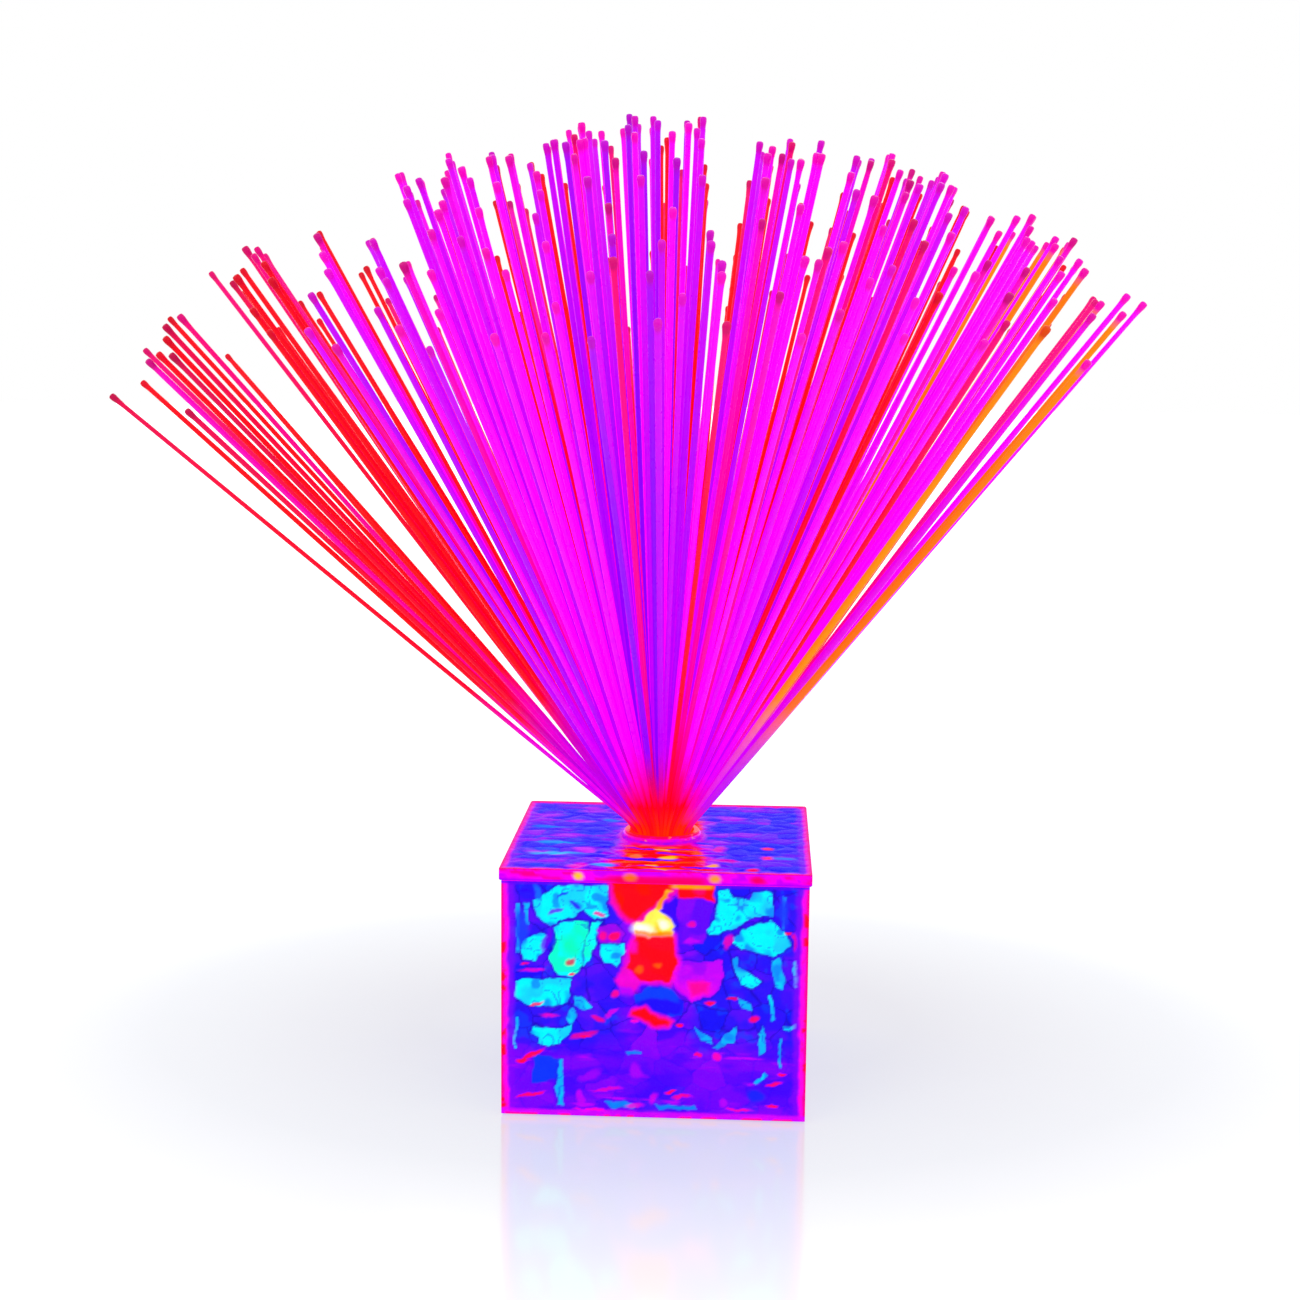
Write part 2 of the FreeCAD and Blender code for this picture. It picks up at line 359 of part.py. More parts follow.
# ---- tray, cover, feet ------------------------------------------------------
def tray_parts():
    t = TRAY_HALF
    tray = soften(box(-t, t, -t, t, TRAY_Z0, TRAY_Z1), 2.0, upright)
    tray = tray.cut(soften(box(-t + TRAY_WALL, t - TRAY_WALL, -t + TRAY_WALL, t - TRAY_WALL, TRAY_FLOOR, TRAY_Z1 + 1), 1.2, upright))
    bosses = None
    for sx in (-1, 1):
        for sy in (-1, 1):
            b = cyl(BOSS_R, TRAY_FLOOR - .5, TRAY_Z1, sx * BOSS_AT, sy * BOSS_AT)
            bosses = b if bosses is None else bosses.fuse(b)
    # ribs from each boss to the side wall
    for sx in (-1, 1):
        for sy in (-1, 1):
            x0, x1 = sorted((sx * (BOSS_AT + 2.5), sx * (t - 1.0)))
            bosses = bosses.fuse(box(x0, x1, sy * BOSS_AT - .6, sy * BOSS_AT + .6, TRAY_FLOOR - .5, TRAY_Z1 - 2))
    tray = tray.fuse(bosses)
    for sx in (-1, 1):
        for sy in (-1, 1):
            tray = tray.cut(cyl(PILOT_R, TRAY_Z1 - 12, TRAY_Z1 + 1, sx * BOSS_AT, sy * BOSS_AT))
    opening = box(-BAY_X, BAY_X, BAY_Y0, BAY_Y1, TRAY_Z0 - 1, TRAY_FLOOR + 1)
    tray = tray.cut(opening.cut(box(-TONGUE_X, TONGUE_X, BAY_Y0 - 1, TONGUE_Y1, TRAY_Z0 - 2, TRAY_FLOOR + 2)))
    # thumb notch at the door's free edge
    tray = tray.cut(cyl(5.0, TRAY_Z0 - 1, TRAY_Z0 + 1.1, 0, BAY_Y1 - 1.5))
    # hinge sockets of the door
    for sx in (-1, 1):
        x = min(sx * BAY_X, sx * (BAY_X + 1.3))
        tray = tray.cut(Part.makeCylinder(DOOR_PIN_HOLE_R, 1.3, V(x, DOOR_HINGE_Y, DOOR_HINGE_Z), V(1, 0, 0)))
    # switch slot
    half = SWITCH_TRAVEL / 2 + 1.8
    tray = tray.cut(box(-half, half, SWITCH_Y - 1.5, SWITCH_Y + 1.5, TRAY_Z0 - 1, TRAY_FLOOR + 1))
    tray = tray.cut(soften(box(-half - 1.6, half + 1.6, SWITCH_Y - 3.2, SWITCH_Y + 3.2, TRAY_Z0 - 1, TRAY_Z0 + .7), 1.4, upright))
    save("base_tray", tray.removeSplitter())

    bay = box(-BAY_X - BAY_WALL, BAY_X + BAY_WALL, BAY_Y0 - BAY_WALL, BAY_Y1 + BAY_WALL, TRAY_FLOOR, BAY_Z1 + BAY_WALL)
    bay = soften(bay, 1.0, upright)
    bay = bay.cut(box(-BAY_X, BAY_X, BAY_Y0, BAY_Y1, TRAY_FLOOR - 1, BAY_Z1))
    for x, y in ((14, 9), (-14, 9), (14, -5), (-14, -5)):
        bay = bay.fuse(cyl(2.2, BAY_Z1 + .5, BOARD_Z0, x, y))
    for x, y in ((14, 9), (-14, -5)):
        bay = bay.cut(cyl(.85, BAY_Z1 + .4, BOARD_Z0 + 1, x, y))
    # two ribs that part the cells
    for y in (9.85, 24.95):
        bay = bay.fuse(box(-20, 20, y - .35, y + .35, BAY_Z1 - 4.5, BAY_Z1 + .2))
    save("battery_box", bay.removeSplitter())

    c = 45.6
    cover = soften(box(-c, c, -c, c, TRAY_Z1, TRAY_Z1 + COVER_T), 2.0, upright)
    cover = cover.cut(cyl(5.0, TRAY_Z1 - 1, TRAY_Z1 + COVER_T + 1))
    for sx in (-1, 1):
        for sy in (-1, 1):
            cover = cover.cut(cyl(1.6, TRAY_Z1 - 1, TRAY_Z1 + COVER_T + 1, sx * BOSS_AT, sy * BOSS_AT))
    save("tray_cover", cover)

    screws = []
    top = TRAY_Z1 + COVER_T
    for sx in (-1, 1):
        for sy in (-1, 1):
            x, y = sx * BOSS_AT, sy * BOSS_AT
            s = cyl(1.1, TRAY_Z1 - 9, top, x, y).fuse(soften(cyl(2.7, top, top + 1.7, x, y), .6, lambda e: e.BoundBox.ZMin > top + 1.5))
            s = s.cut(box(x - 1.6, x + 1.6, y - .3, y + .3, top + .8, top + 3)).cut(box(x - .3, x + .3, y - 1.6, y + 1.6, top + .8, top + 3))
            screws.append(s)
    save("cover_screws", Part.makeCompound(screws))

    feet = []
    for sx in (-1, 1):
        for sy in (-1, 1):
            f = cyl(FOOT_R, 0, FOOT_H, sx * FOOT_AT, sy * FOOT_AT)
            feet.append(soften(f, .5, lambda e: e.BoundBox.ZMax < .01 and e.Length > 5))
    f = cyl(MID_FOOT_R, 0, FOOT_H)
    feet.append(soften(f, .5, lambda e: e.BoundBox.ZMax < .01 and e.Length > 5))
    save("rubber_feet", Part.makeCompound(feet))


def door_part():
    y0, y1 = DOOR_HINGE_Y, BAY_Y1 - DOOR_GAP
    x = BAY_X - DOOR_GAP
    z0 = DOOR_HINGE_Z - DOOR_KNUCKLE_R
    plate = box(-x, x, y0, y1, z0, DOOR_Z1)
    knuckle = Part.makeCylinder(DOOR_KNUCKLE_R, 2 * x, V(-x, DOOR_HINGE_Y, DOOR_HINGE_Z), V(1, 0, 0))
    door = plate.fuse(knuckle)
    for sx in (-1, 1):
        xs = min(sx * (x - 1), sx * (x + DOOR_PIN_L))
        door = door.fuse(Part.makeCylinder(DOOR_PIN_R, 1 + DOOR_PIN_L, V(xs, DOOR_HINGE_Y, DOOR_HINGE_Z), V(1, 0, 0)))
    # notch that leaves room for the floor tongue
    door = door.cut(box(-TONGUE_X - DOOR_GAP, TONGUE_X + DOOR_GAP, y0 - 2, TONGUE_Y1 + 2 * DOOR_GAP, z0 - 1, DOOR_Z1 + 1))
    # ribbed thumb grip near the free edge
    for k in range(5):
        yy = y1 - 9 + k * 1.5
        door = door.cut(box(-7, 7, yy, yy + .7, z0 - 1, z0 + .4))
    save("battery_door", door.removeSplitter())


def cells_and_contacts():
    cells, springs, plates = [], [], []
    for k, y in enumerate(CELL_Y):
        d = 1 if k % 2 == 0 else -1          # which way the cell points
        tip = d * (BAY_X - 1.6)
        can0 = tip - d * 1.2
        end = tip - d * CELL_L
        body = Part.makeCylinder(CELL_R, CELL_L - 1.2, V(end, y, CELL_Z), V(d, 0, 0))
        body = body.makeFillet(.5, [e for e in body.Edges if e.Length > 20])
        nub = Part.makeCylinder(2.7, 1.2, V(can0, y, CELL_Z), V(d, 0, 0))
        cells.append(body.fuse(nub))
        for sx in (-1, 1):
            x0, x1 = sorted((sx * BAY_X, sx * (BAY_X - .4)))
            p = box(x0, x1, y - 5.5, y + 5.5, CELL_Z - 5.2, CELL_Z + 5.2)
            if sx == d:
                p = p.fuse(Part.makeCylinder(2.4, 1.2, V(sx * (BAY_X - .4), y, CELL_Z), V(-sx, 0, 0)))
            plates.append(p)
        # leaf spring, an arched strip from the plate to the can's flat end
        x0 = -d * (BAY_X - .4)
        g = abs(x0 - end)
        arch = [(0, -5.0), (.3, -5.0), (.3, -4.6), (g - .3, -1.4), (g - .3, 1.4), (.3, 4.6),
                (.3, 5.0), (0, 5.0), (0, 4.45), (g - .65, 1.2), (g - .65, -1.2), (0, -4.45)]
        pts = [V(x0 + d * u, y - 2.5, CELL_Z + w) for u, w in arch]
        strip = Part.Face(Part.makePolygon(pts + [pts[0]])).extrude(V(0, 5, 0))
        springs.append(strip)
    save("battery_cells", Part.makeCompound(cells))
    save("contact_springs", Part.makeCompound(springs))
    save("contact_plates", Part.makeCompound(plates))


def switch_parts():
    half = SWITCH_TRAVEL / 2 + 2.2
    body = box(-6.5, 6.5, SWITCH_Y - 3.4, SWITCH_Y + 3.4, TRAY_FLOOR, 9.5)
    body = body.cut(box(-half, half, SWITCH_Y - 1.8, SWITCH_Y + 1.8, TRAY_FLOOR - 1, 6.0))
    for x in (-3, 0, 3):
        body = body.fuse(box(x - .4, x + .4, SWITCH_Y - .15, SWITCH_Y + .15, 9.4, 12.5))
    save("switch_body", body)
    x = -SWITCH_TRAVEL / 2
    knob = box(x - 1.8, x + 1.8, SWITCH_Y - 1.45, SWITCH_Y + 1.45, 4.3, 5.7)
    stem = box(x - 1.5, x + 1.5, SWITCH_Y - 1.2, SWITCH_Y + 1.2, 2.3, 4.4)
    for dx in (-.8, 0, .8):
        stem = stem.cut(box(x + dx - .15, x + dx + .15, SWITCH_Y - 2, SWITCH_Y + 2, 2.0, 2.6))
    save("switch_knob", knob.fuse(stem).removeSplitter())


def board_parts():
    b = box(-18, 18, -9, 13, BOARD_Z0, BOARD_Z0 + BOARD_T)
    b = soften(b, 1.0, upright)
    for x, y in ((14, 9), (-14, -5)):
        b = b.cut(cyl(1.1, BOARD_Z0 - 1, BOARD_Z0 + 3, x, y))
    for x in (-1.27, 1.27):
        b = b.cut(cyl(.45, BOARD_Z0 - 1, BOARD_Z0 + 3, x, 0))
    save("circuit_board", b)
    z = BOARD_Z0 + BOARD_T
    chip = box(6.5, 11.5, -4.5, -.6, z + .15, z + 1.6)
    for k in range(4):
        x = 7.1 + k * 1.27
        chip = chip.fuse(box(x - .2, x + .2, -5.6, .5, z, z + .5))
    save("driver_chip", chip.removeSplitter())
    small = []
    for x, y in ((-9, -4), (-9, -.5), (-5.5, 8), (4.5, 8.5), (8.5, 5.0)):
        body = box(x - 1.0, x + 1.0, y - .8, y + .8, z, z + .6)
        small.append(body.makeChamfer(.1, [e for e in body.Edges if upright(e)]))
    small.append(cyl(1.7, z, z + 1.9, -10, 5))
    save("board_components", Part.makeCompound(small))
    screws = []
    for x, y in ((14, 9), (-14, -5)):
        screws.append(cyl(.8, BAY_Z1 + .6, z, x, y).fuse(cyl(1.7, z, z + 1.2, x, y)))
    save("board_screws", Part.makeCompound(screws))


def wiring():
    z = BOARD_Z0 + BOARD_T
    legs = [cyl(.25, z - 1.0, LED_Z0, x, 0) for x in (-1.27, 1.27)]
    save("led_legs", Part.makeCompound(legs))
    wires = []
    for sx, y in ((1, 2.0), (-1, 3.5)):
        wires.append(tube([(sx * 16, y, z), (sx * 16, y, z + 1.45), (sx * 33, y, z + 1.45),
                           (sx * 33, y, 12.0), (sx * (BAY_X + BAY_WALL), y, 12.0)], .55, .75))
    save("battery_leads", Part.makeCompound(wires))
    save("switch_leads", Part.makeCompound([
        tube([(x, SWITCH_Y, 12.5), (x, SWITCH_Y, 24.8), (x, -9.0, 24.8)], .5, 4.0) for x in (-3, 0)]))


def light_source():
    post = turned([(POST_BORE_R, POST_Z0), (9.5, POST_Z0), (9.5, POST_Z0 + 1.4), (POST_R + .8, POST_Z0 + 2.2),
                   (POST_R, POST_Z0 + 4.5), (POST_R, POST_Z1), (POST_BORE_R, POST_Z1)])
    save("light_post", post)
    holder = turned([(POST_BORE_R, POST_Z1), (HOLDER_R, POST_Z1), (HOLDER_R, HOLDER_Z1), (HOLDER_R - 1.1, HOLDER_Z1),
                     (5.1, LED_Z0), (5.1, LED_Z0 - 1.6), (POST_BORE_R, LED_Z0 - 1.6)])
    save("led_holder", holder)
    plate = cyl(5.0, LED_Z0 - 1.6, LED_Z0 - .2)
    for x in (-1.27, 1.27):
        plate = plate.cut(cyl(.35, LED_Z0 - 3, LED_Z0 + 1, x, 0))
    save("led_plate", plate)
    lens = cyl(LED_R, LED_Z0 + .8, LED_Z0 + 7.5).fuse(cyl(LED_R + .5, LED_Z0, LED_Z0 + .8))
    lens = lens.fuse(Part.makeSphere(LED_R, V(0, 0, LED_Z0 + 7.5), UP, 0, 90, 360))
    save("led_lens", lens.removeSplitter())

    k = (CUP_R1 - CUP_R0) / (CUP_Z1 - CUP_Z0)
    zt = CUP_Z1 - 1.0
    cup = turned([(CUP_R0, CUP_Z0), (CUP_R0 + CUP_WALL, CUP_Z0), (CUP_R0 + k * (zt - CUP_Z0) + CUP_WALL, zt),
                  (21.0, zt), (21.0, CUP_Z1), (CUP_R1, CUP_Z1)])
    save("light_cup", cup)


def collar_and_ferrule():
    grommet = turned([(GROMMET_BORE_R, 78.6), (HOLE_R + .2, 78.6), (13.9, 79.3), (13.9, LID_Z0), (HOLE_R, LID_Z0),
                      (HOLE_R, LID_Z1), (14.0, LID_Z1), (13.8, LID_Z1 + .6), (GROMMET_BORE_R, LID_Z1 + .6)])
    save("hole_grommet", grommet)
    collar = turned([(COLLAR_BORE_R, COLLAR_Z0), (COLLAR_R, COLLAR_Z0), (COLLAR_R, COLLAR_FLANGE_Z),
                     (COLLAR_FLANGE_R, COLLAR_FLANGE_Z), (COLLAR_FLANGE_R, COLLAR_Z1 - .35),
                     (COLLAR_FLANGE_R - .35, COLLAR_Z1), (COLLAR_BORE_R, COLLAR_Z1)])
    save("turn_collar", collar)
    save("collar_clip", ring(COLLAR_R, 13.2, 77.2, 78.2).cut(box(10, 15, -1.2, 1.2, 76, 79)))
    f = turned([(FERRULE_BORE_R, FERRULE_Z0), (FERRULE_R - .3, FERRULE_Z0), (FERRULE_R, FERRULE_Z0 + .3),
                (FERRULE_R, FERRULE_RIM_Z), (FERRULE_RIM_R, FERRULE_RIM_Z), (FERRULE_RIM_R, FERRULE_Z1 - .3),
                (FERRULE_RIM_R - .3, FERRULE_Z1), (FERRULE_MOUTH_R, FERRULE_Z1), (FERRULE_BORE_R, BEND_Z0)])
    save("bundle_ferrule", f)
    save("bundle_core", cyl(FERRULE_BORE_R, CORE_Z0, FIBRE_Z0))


def fibre_nodes():
    places, tips = bundle_places(FIBRE_COUNT), FIBRE_TIPS
    print("least air between fibres", round(least_air(places, tips), 3))
    worst = 99.0
    groups = {}
    for p, t in zip(places, tips):
        r = math.hypot(p[0], p[1])
        a = math.degrees(math.atan2(p[1], p[0])) % 360
        if r < 3.4:
            name = "fibres_centre"
        elif r < 6.6:
            name = "fibres_inner_" + ("right", "back", "left", "front")[int(((a + 45) % 360) // 90)]
        else:
            name = "fibres_outer_" + ("right", "back_right", "back_left", "left", "front_left", "front_right")[int(((a + 30) % 360) // 60)]
        groups.setdefault(name, []).append((p, t))
    for name in sorted(groups):
        solids = [fibre(p, t) for p, t in groups[name]]
        for (p, t), s in zip(groups[name], solids):
            lean, turn, r = bend_of(p, t)
            e = bend_end(p, t)
            length = 2.0 + r * lean + math.dist(e, t)
            want = math.pi * FIBRE_D ** 2 / 4 * length
            worst = min(worst, s.Volume / want)
        save(name, Part.makeCompound(solids))
        print(name, len(solids))
    print("fibres", len(places), "least volume share", round(worst, 5))


def main():
    os.makedirs(OUT, exist_ok=True)
    glass_box()
    tray_parts()
    door_part()
    cells_and_contacts()
    switch_parts()
    board_parts()
    wiring()
    light_source()
    collar_and_ferrule()
    fibre_nodes()


main()
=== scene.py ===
import bpy
import math
import numpy as np
from mathutils import Matrix, Vector


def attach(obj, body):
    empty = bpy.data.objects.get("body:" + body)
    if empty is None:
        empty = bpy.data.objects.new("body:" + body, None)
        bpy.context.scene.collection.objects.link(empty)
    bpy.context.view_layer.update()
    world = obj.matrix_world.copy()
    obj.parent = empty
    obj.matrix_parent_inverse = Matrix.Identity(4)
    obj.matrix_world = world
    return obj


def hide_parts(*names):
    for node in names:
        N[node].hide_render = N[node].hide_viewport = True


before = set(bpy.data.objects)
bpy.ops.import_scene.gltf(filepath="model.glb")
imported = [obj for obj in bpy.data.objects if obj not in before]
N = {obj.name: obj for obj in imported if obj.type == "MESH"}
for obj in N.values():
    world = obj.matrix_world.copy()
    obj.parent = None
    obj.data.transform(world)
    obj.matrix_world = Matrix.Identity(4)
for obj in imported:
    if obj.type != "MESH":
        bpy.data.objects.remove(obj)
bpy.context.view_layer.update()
MM = 0.001


# ---- colour and noise helpers ------------------------------------------------
def lin(v):
    v = v / 255.0
    return v / 12.92 if v <= 0.04045 else ((v + 0.055) / 1.055) ** 2.4


def rgb(h):
    h = h.lstrip("#")
    return np.array([lin(int(h[i:i + 2], 16)) for i in (0, 2, 4)])


def rgba(h):
    return tuple(rgb(h)) + (1.0,)


def lattice(seed, n=96):
    return np.random.default_rng(seed).random((n, n))


def vnoise(x, y, cell, seed, cell_y=None):
    """Smooth value noise from 0 to 1 on points in millimetres."""
    g = lattice(seed)
    n = g.shape[0]
    fx, fy = x / cell + 31.7, y / (cell_y or cell) + 17.3
    ix, iy = np.floor(fx).astype(int), np.floor(fy).astype(int)
    tx, ty = fx - ix, fy - iy
    tx, ty = tx * tx * (3 - 2 * tx), ty * ty * (3 - 2 * ty)
    a, b = g[ix % n, iy % n], g[(ix + 1) % n, iy % n]
    c, d = g[ix % n, (iy + 1) % n], g[(ix + 1) % n, (iy + 1) % n]
    return (a * (1 - tx) + b * tx) * (1 - ty) + (c * (1 - tx) + d * tx) * ty


def fbm(x, y, cell, seed, cell_y=None):
    cy = cell_y or cell
    return (vnoise(x, y, cell, seed, cy) * 0.55 + vnoise(x, y, cell / 2.1, seed + 1, cy / 2.1) * 0.3
            + vnoise(x, y, cell / 4.3, seed + 2, cy / 4.3) * 0.15)


def smooth(a, b, v):
    t = np.clip((v - a) / (b - a), 0, 1)
    return t * t * (3 - 2 * t)


def blend(col, other, mask):
    return col * (1 - mask[:, None]) + np.asarray(other) * mask[:, None]


def poly_distance(px, py, poly):
    """Signed distance to a closed outline, negative inside."""
    best = np.full(px.shape, 1e9)
    inside = np.zeros(px.shape, bool)
    n = len(poly)
    for i in range(n):
        (x0, y0), (x1, y1) = poly[i], poly[(i + 1) % n]
        ex, ey = x1 - x0, y1 - y0
        t = np.clip(((px - x0) * ex + (py - y0) * ey) / (ex * ex + ey * ey + 1e-9), 0, 1)
        best = np.minimum(best, np.hypot(px - x0 - t * ex, py - y0 - t * ey))
        if abs(ey) > 1e-9:
            hit = ((y0 > py) != (y1 > py)) & (px < (py - y0) * ex / ey + x0)
            inside ^= hit
    return np.where(inside, -best, best)


def cells(px, py, pitch, seed, half_x=56.0, half_y=56.0, y_mid=0.0, squeeze=1.0):
    """Chipped-glass cells: index, distance to the nearest seed, and gap to the next one."""
    r = np.random.default_rng(seed)
    nx, ny = int(2 * half_x / pitch) + 1, int(2 * half_y / pitch) + 1
    seeds = []
    for j in range(ny):
        for i in range(nx):
            seeds.append(((i + 0.5 * (j % 2) + r.uniform(-0.42, 0.42)) * pitch - half_x,
                          (j + r.uniform(-0.42, 0.42)) * pitch - half_y + y_mid))
    s = np.array(seeds)
    d1 = np.full(px.shape, 1e9)
    d2 = np.full(px.shape, 1e9)
    idx = np.zeros(px.shape, int)
    for k, (sx, sy) in enumerate(s):
        d = np.hypot(px - sx, (py - sy) * squeeze)
        closer = d < d1
        d2 = np.where(closer, d1, np.minimum(d2, d))
        idx = np.where(closer, k, idx)
        d1 = np.where(closer, d, d1)
    return idx, d1, d2 - d1, s


def new_mesh(name, verts, faces, colours=None, attr="paint"):
    me = bpy.data.meshes.new(name)
    me.from_pydata([tuple(v) for v in verts], [], faces)
    me.update()
    if colours is not None:
        a = me.color_attributes.new(attr, "FLOAT_COLOR", "POINT")
        c = np.ones((len(verts), 4), np.float32)
        c[:, :3] = np.clip(colours, 0, 1)
        a.data.foreach_set("color", c.ravel())
    ob = bpy.data.objects.new(name, me)
    bpy.context.scene.collection.objects.link(ob)
    return ob


# ---- material helpers --------------------------------------------------------
def material(name):
    m = bpy.data.materials.new(name)
    m.use_nodes = True
    nt = m.node_tree
    for n in list(nt.nodes):
        nt.nodes.remove(n)
    out = nt.nodes.new("ShaderNodeOutputMaterial")
    bsdf = nt.nodes.new("ShaderNodeBsdfPrincipled")
    nt.links.new(bsdf.outputs["BSDF"], out.inputs["Surface"])
    return m, nt, bsdf


def node(nt, kind, **values):
    n = nt.nodes.new(kind)
    for k, v in values.items():
        if k in n.inputs:
            n.inputs[k].default_value = v
        else:
            setattr(n, k, v)
    return n


def object_coords(nt, scale=(1, 1, 1)):
    tc = nt.nodes.new("ShaderNodeTexCoord")
    mp = nt.nodes.new("ShaderNodeMapping")
    mp.inputs["Scale"].default_value = scale
    nt.links.new(tc.outputs["Object"], mp.inputs["Vector"])
    return mp.outputs["Vector"]


def noise(nt, vec, scale, detail=4.0, rough=0.55):
    n = node(nt, "ShaderNodeTexNoise", Scale=scale, Detail=detail, Roughness=rough)
    nt.links.new(vec, n.inputs["Vector"])
    return n.outputs["Fac"]


def remap(nt, value, lo, hi, a=0.3, b=0.7):
    n = nt.nodes.new("ShaderNodeMapRange")
    n.inputs["From Min"].default_value = a
    n.inputs["From Max"].default_value = b
    n.inputs["To Min"].default_value = lo
    n.inputs["To Max"].default_value = hi
    nt.links.new(value, n.inputs["Value"])
    return n.outputs["Result"]


def ramp(nt, value, stops):
    n = nt.nodes.new("ShaderNodeValToRGB")
    el = n.color_ramp.elements
    el[0].position, el[0].color = stops[0][0], stops[0][1]
    el[1].position, el[1].color = stops[-1][0], stops[-1][1]
    for p, c in stops[1:-1]:
        e = el.new(p)
        e.color = c
    nt.links.new(value, n.inputs["Fac"])
    return n.outputs["Color"]


def mix_colour(nt, fac, a, b, kind="MIX"):
    n = nt.nodes.new("ShaderNodeMix")
    n.data_type = "RGBA"
    n.blend_type = kind
    for sock, v in ((n.inputs["Factor"], fac), (n.inputs["A"], a), (n.inputs["B"], b)):
        pass
    ins = [s for s in n.inputs if s.enabled]
    for sock, v in zip(ins, (fac, a, b)):
        if isinstance(v, (int, float, tuple)):
            sock.default_value = v
        else:
            nt.links.new(v, sock)
    return [s for s in n.outputs if s.enabled][0]


def bump(nt, bsdf, height, strength, distance):
    n = node(nt, "ShaderNodeBump", Strength=strength, Distance=distance)
    nt.links.new(height, n.inputs["Height"])
    nt.links.new(n.outputs["Normal"], bsdf.inputs["Normal"])


def surface(name, base, tone, scale, rough, metal=0.0, grain=2500.0, grain_depth=0.00003, strength=0.4,
            stretch=(1, 1, 1), wear_and_glint=None, spec=0.5, glow=None, glow_strength=0.0, coat=0.0):
    """A material whose colour drifts between base and tone, with spots of a second colour (worn spots on dull parts,
    painted glints of light on the glowing ones), uneven roughness and a fine grain.
    """
    m, nt, b = material(name)
    vec = object_coords(nt, stretch)
    drift = noise(nt, vec, scale, 5.0)
    col = ramp(nt, drift, [(0.3, rgba(base)), (0.7, rgba(tone))])
    # second-colour spots: wear on dull parts, painted glints of light on glowing parts
    if wear_and_glint:
        spots = noise(nt, vec, scale * 5.3, 8.0, 0.7)
        mask = remap(nt, spots, 0.0, 0.75, 0.60, 0.72)
        col = mix_colour(nt, mask, col, rgba(wear_and_glint))
    nt.links.new(col, b.inputs["Base Color"])
    nt.links.new(remap(nt, noise(nt, vec, scale * 2.7, 3.0), rough[0], rough[1]), b.inputs["Roughness"])
    b.inputs["Metallic"].default_value = metal
    b.inputs["Specular IOR Level"].default_value = spec
    b.inputs["Coat Weight"].default_value = coat
    bump(nt, b, noise(nt, vec, grain, 3.0, 0.6), strength, grain_depth)
    if glow:
        g = ramp(nt, drift, [(0.3, rgba(glow[0])), (0.7, rgba(glow[1]))])
        nt.links.new(g, b.inputs["Emission Color"])
        b.inputs["Emission Strength"].default_value = glow_strength
    return m


def painted(name, glow, body, rough, spec, grain_scale, grain_depth, strength, fine=(0.86, 1.0), sheen_scale=260.0):
    """A lit surface: its colour lies in the mesh's paint layer, broken up by fine noise, and it glows from inside."""
    m, nt, b = material(name)
    vec = object_coords(nt)
    at = nt.nodes.new("ShaderNodeAttribute")
    at.attribute_name = "paint"
    fleck = noise(nt, vec, sheen_scale, 6.0, 0.6)
    shade = ramp(nt, fleck, [(0.3, (fine[0], fine[0], fine[0], 1)), (0.62, (fine[1], fine[1], fine[1], 1))])
    lit = mix_colour(nt, 1.0, at.outputs["Color"], shade, "MULTIPLY")
    nt.links.new(lit, b.inputs["Emission Color"])
    b.inputs["Emission Strength"].default_value = glow
    dim = mix_colour(nt, 1.0, lit, (body, body, body, 1.0), "MULTIPLY")
    nt.links.new(dim, b.inputs["Base Color"])
    nt.links.new(remap(nt, noise(nt, vec, sheen_scale * 0.6, 3.0), rough[0], rough[1]), b.inputs["Roughness"])
    b.inputs["Specular IOR Level"].default_value = spec
    bump(nt, b, noise(nt, vec, grain_scale, 4.0, 0.6), strength, grain_depth)
    return m


# ---- hammered glass walls ----------------------------------------------------
VIOLETS = [("#3a00ff", 26), ("#5000ff", 26), ("#6a00ff", 22), ("#2000ff", 14), ("#8000f4", 8), ("#0a18ff", 4)]
CYAN, AQUA, SKY, BLUE = "#00e6ff", "#08ffc8", "#0aa8ff", "#1010ff"
RED, HOT, PINK, MAG = "#ff0014", "#ff2a00", "#ff0080", "#ff00e6"
OUTLINE = "#1a00b4"

# Facets of the wall, as the light inside shows through them: outline in mm
# across the wall (from its middle) and above the floor.
CYAN_LEFT = [
    [(-40, 73), (-31, 78.6), (-15.6, 79), (-15.2, 69), (-19.5, 67.2), (-23.5, 70.4), (-27.5, 67.4), (-34, 64.5), (-37, 67)],
    [(-33, 64), (-26, 66.8), (-22, 66.2), (-21.3, 59), (-23.3, 52), (-27.4, 47.6), (-31.5, 49), (-35, 54), (-32.3, 59)],
    [(-20.6, 66.2), (-17.8, 67), (-19.2, 59.2), (-21.6, 53.5), (-23.3, 51.3), (-22.5, 59)],
    [(-43.5, 58.6), (-37, 62.3), (-35, 61), (-36, 56.6), (-40, 53.7), (-43.3, 54.3)],
    [(-45.7, 46), (-36, 46.7), (-31, 47.6), (-27, 47), (-28.7, 39), (-34.3, 37.5), (-40, 38), (-45.3, 41)],
    [(-39.8, 30.2), (-30, 30.5), (-27.3, 32), (-26.8, 29.7), (-30.8, 24.7), (-35, 23.7), (-38.4, 25.2), (-38, 27.4), (-40.5, 28.4)],
    [(-18, 59.2), (-9.6, 59.8), (-9.6, 57.3), (-12.3, 51), (-14, 52.2), (-17, 53)],
]
SKY_LEFT = [
    [(-26.7, 42), (-24, 41.3), (-20, 38), (-23.2, 37), (-26.3, 38.4)],
    [(-45.4, 72.3), (-43.9, 72.3), (-44, 55.4), (-45.2, 55.4)],
    [(-42.3, 72.4), (-40.9, 72.4), (-41, 65.7), (-42, 65.7)],
    [(-45.8, 34), (-44.9, 34), (-45, 22.5), (-45.8, 22.5)],
    [(-29, 34), (-26.6, 37.5), (-25.4, 35), (-27.5, 31)],
    [(-31.4, 20), (-30, 20), (-29.6, 3.5), (-31.6, 3.5)],
]
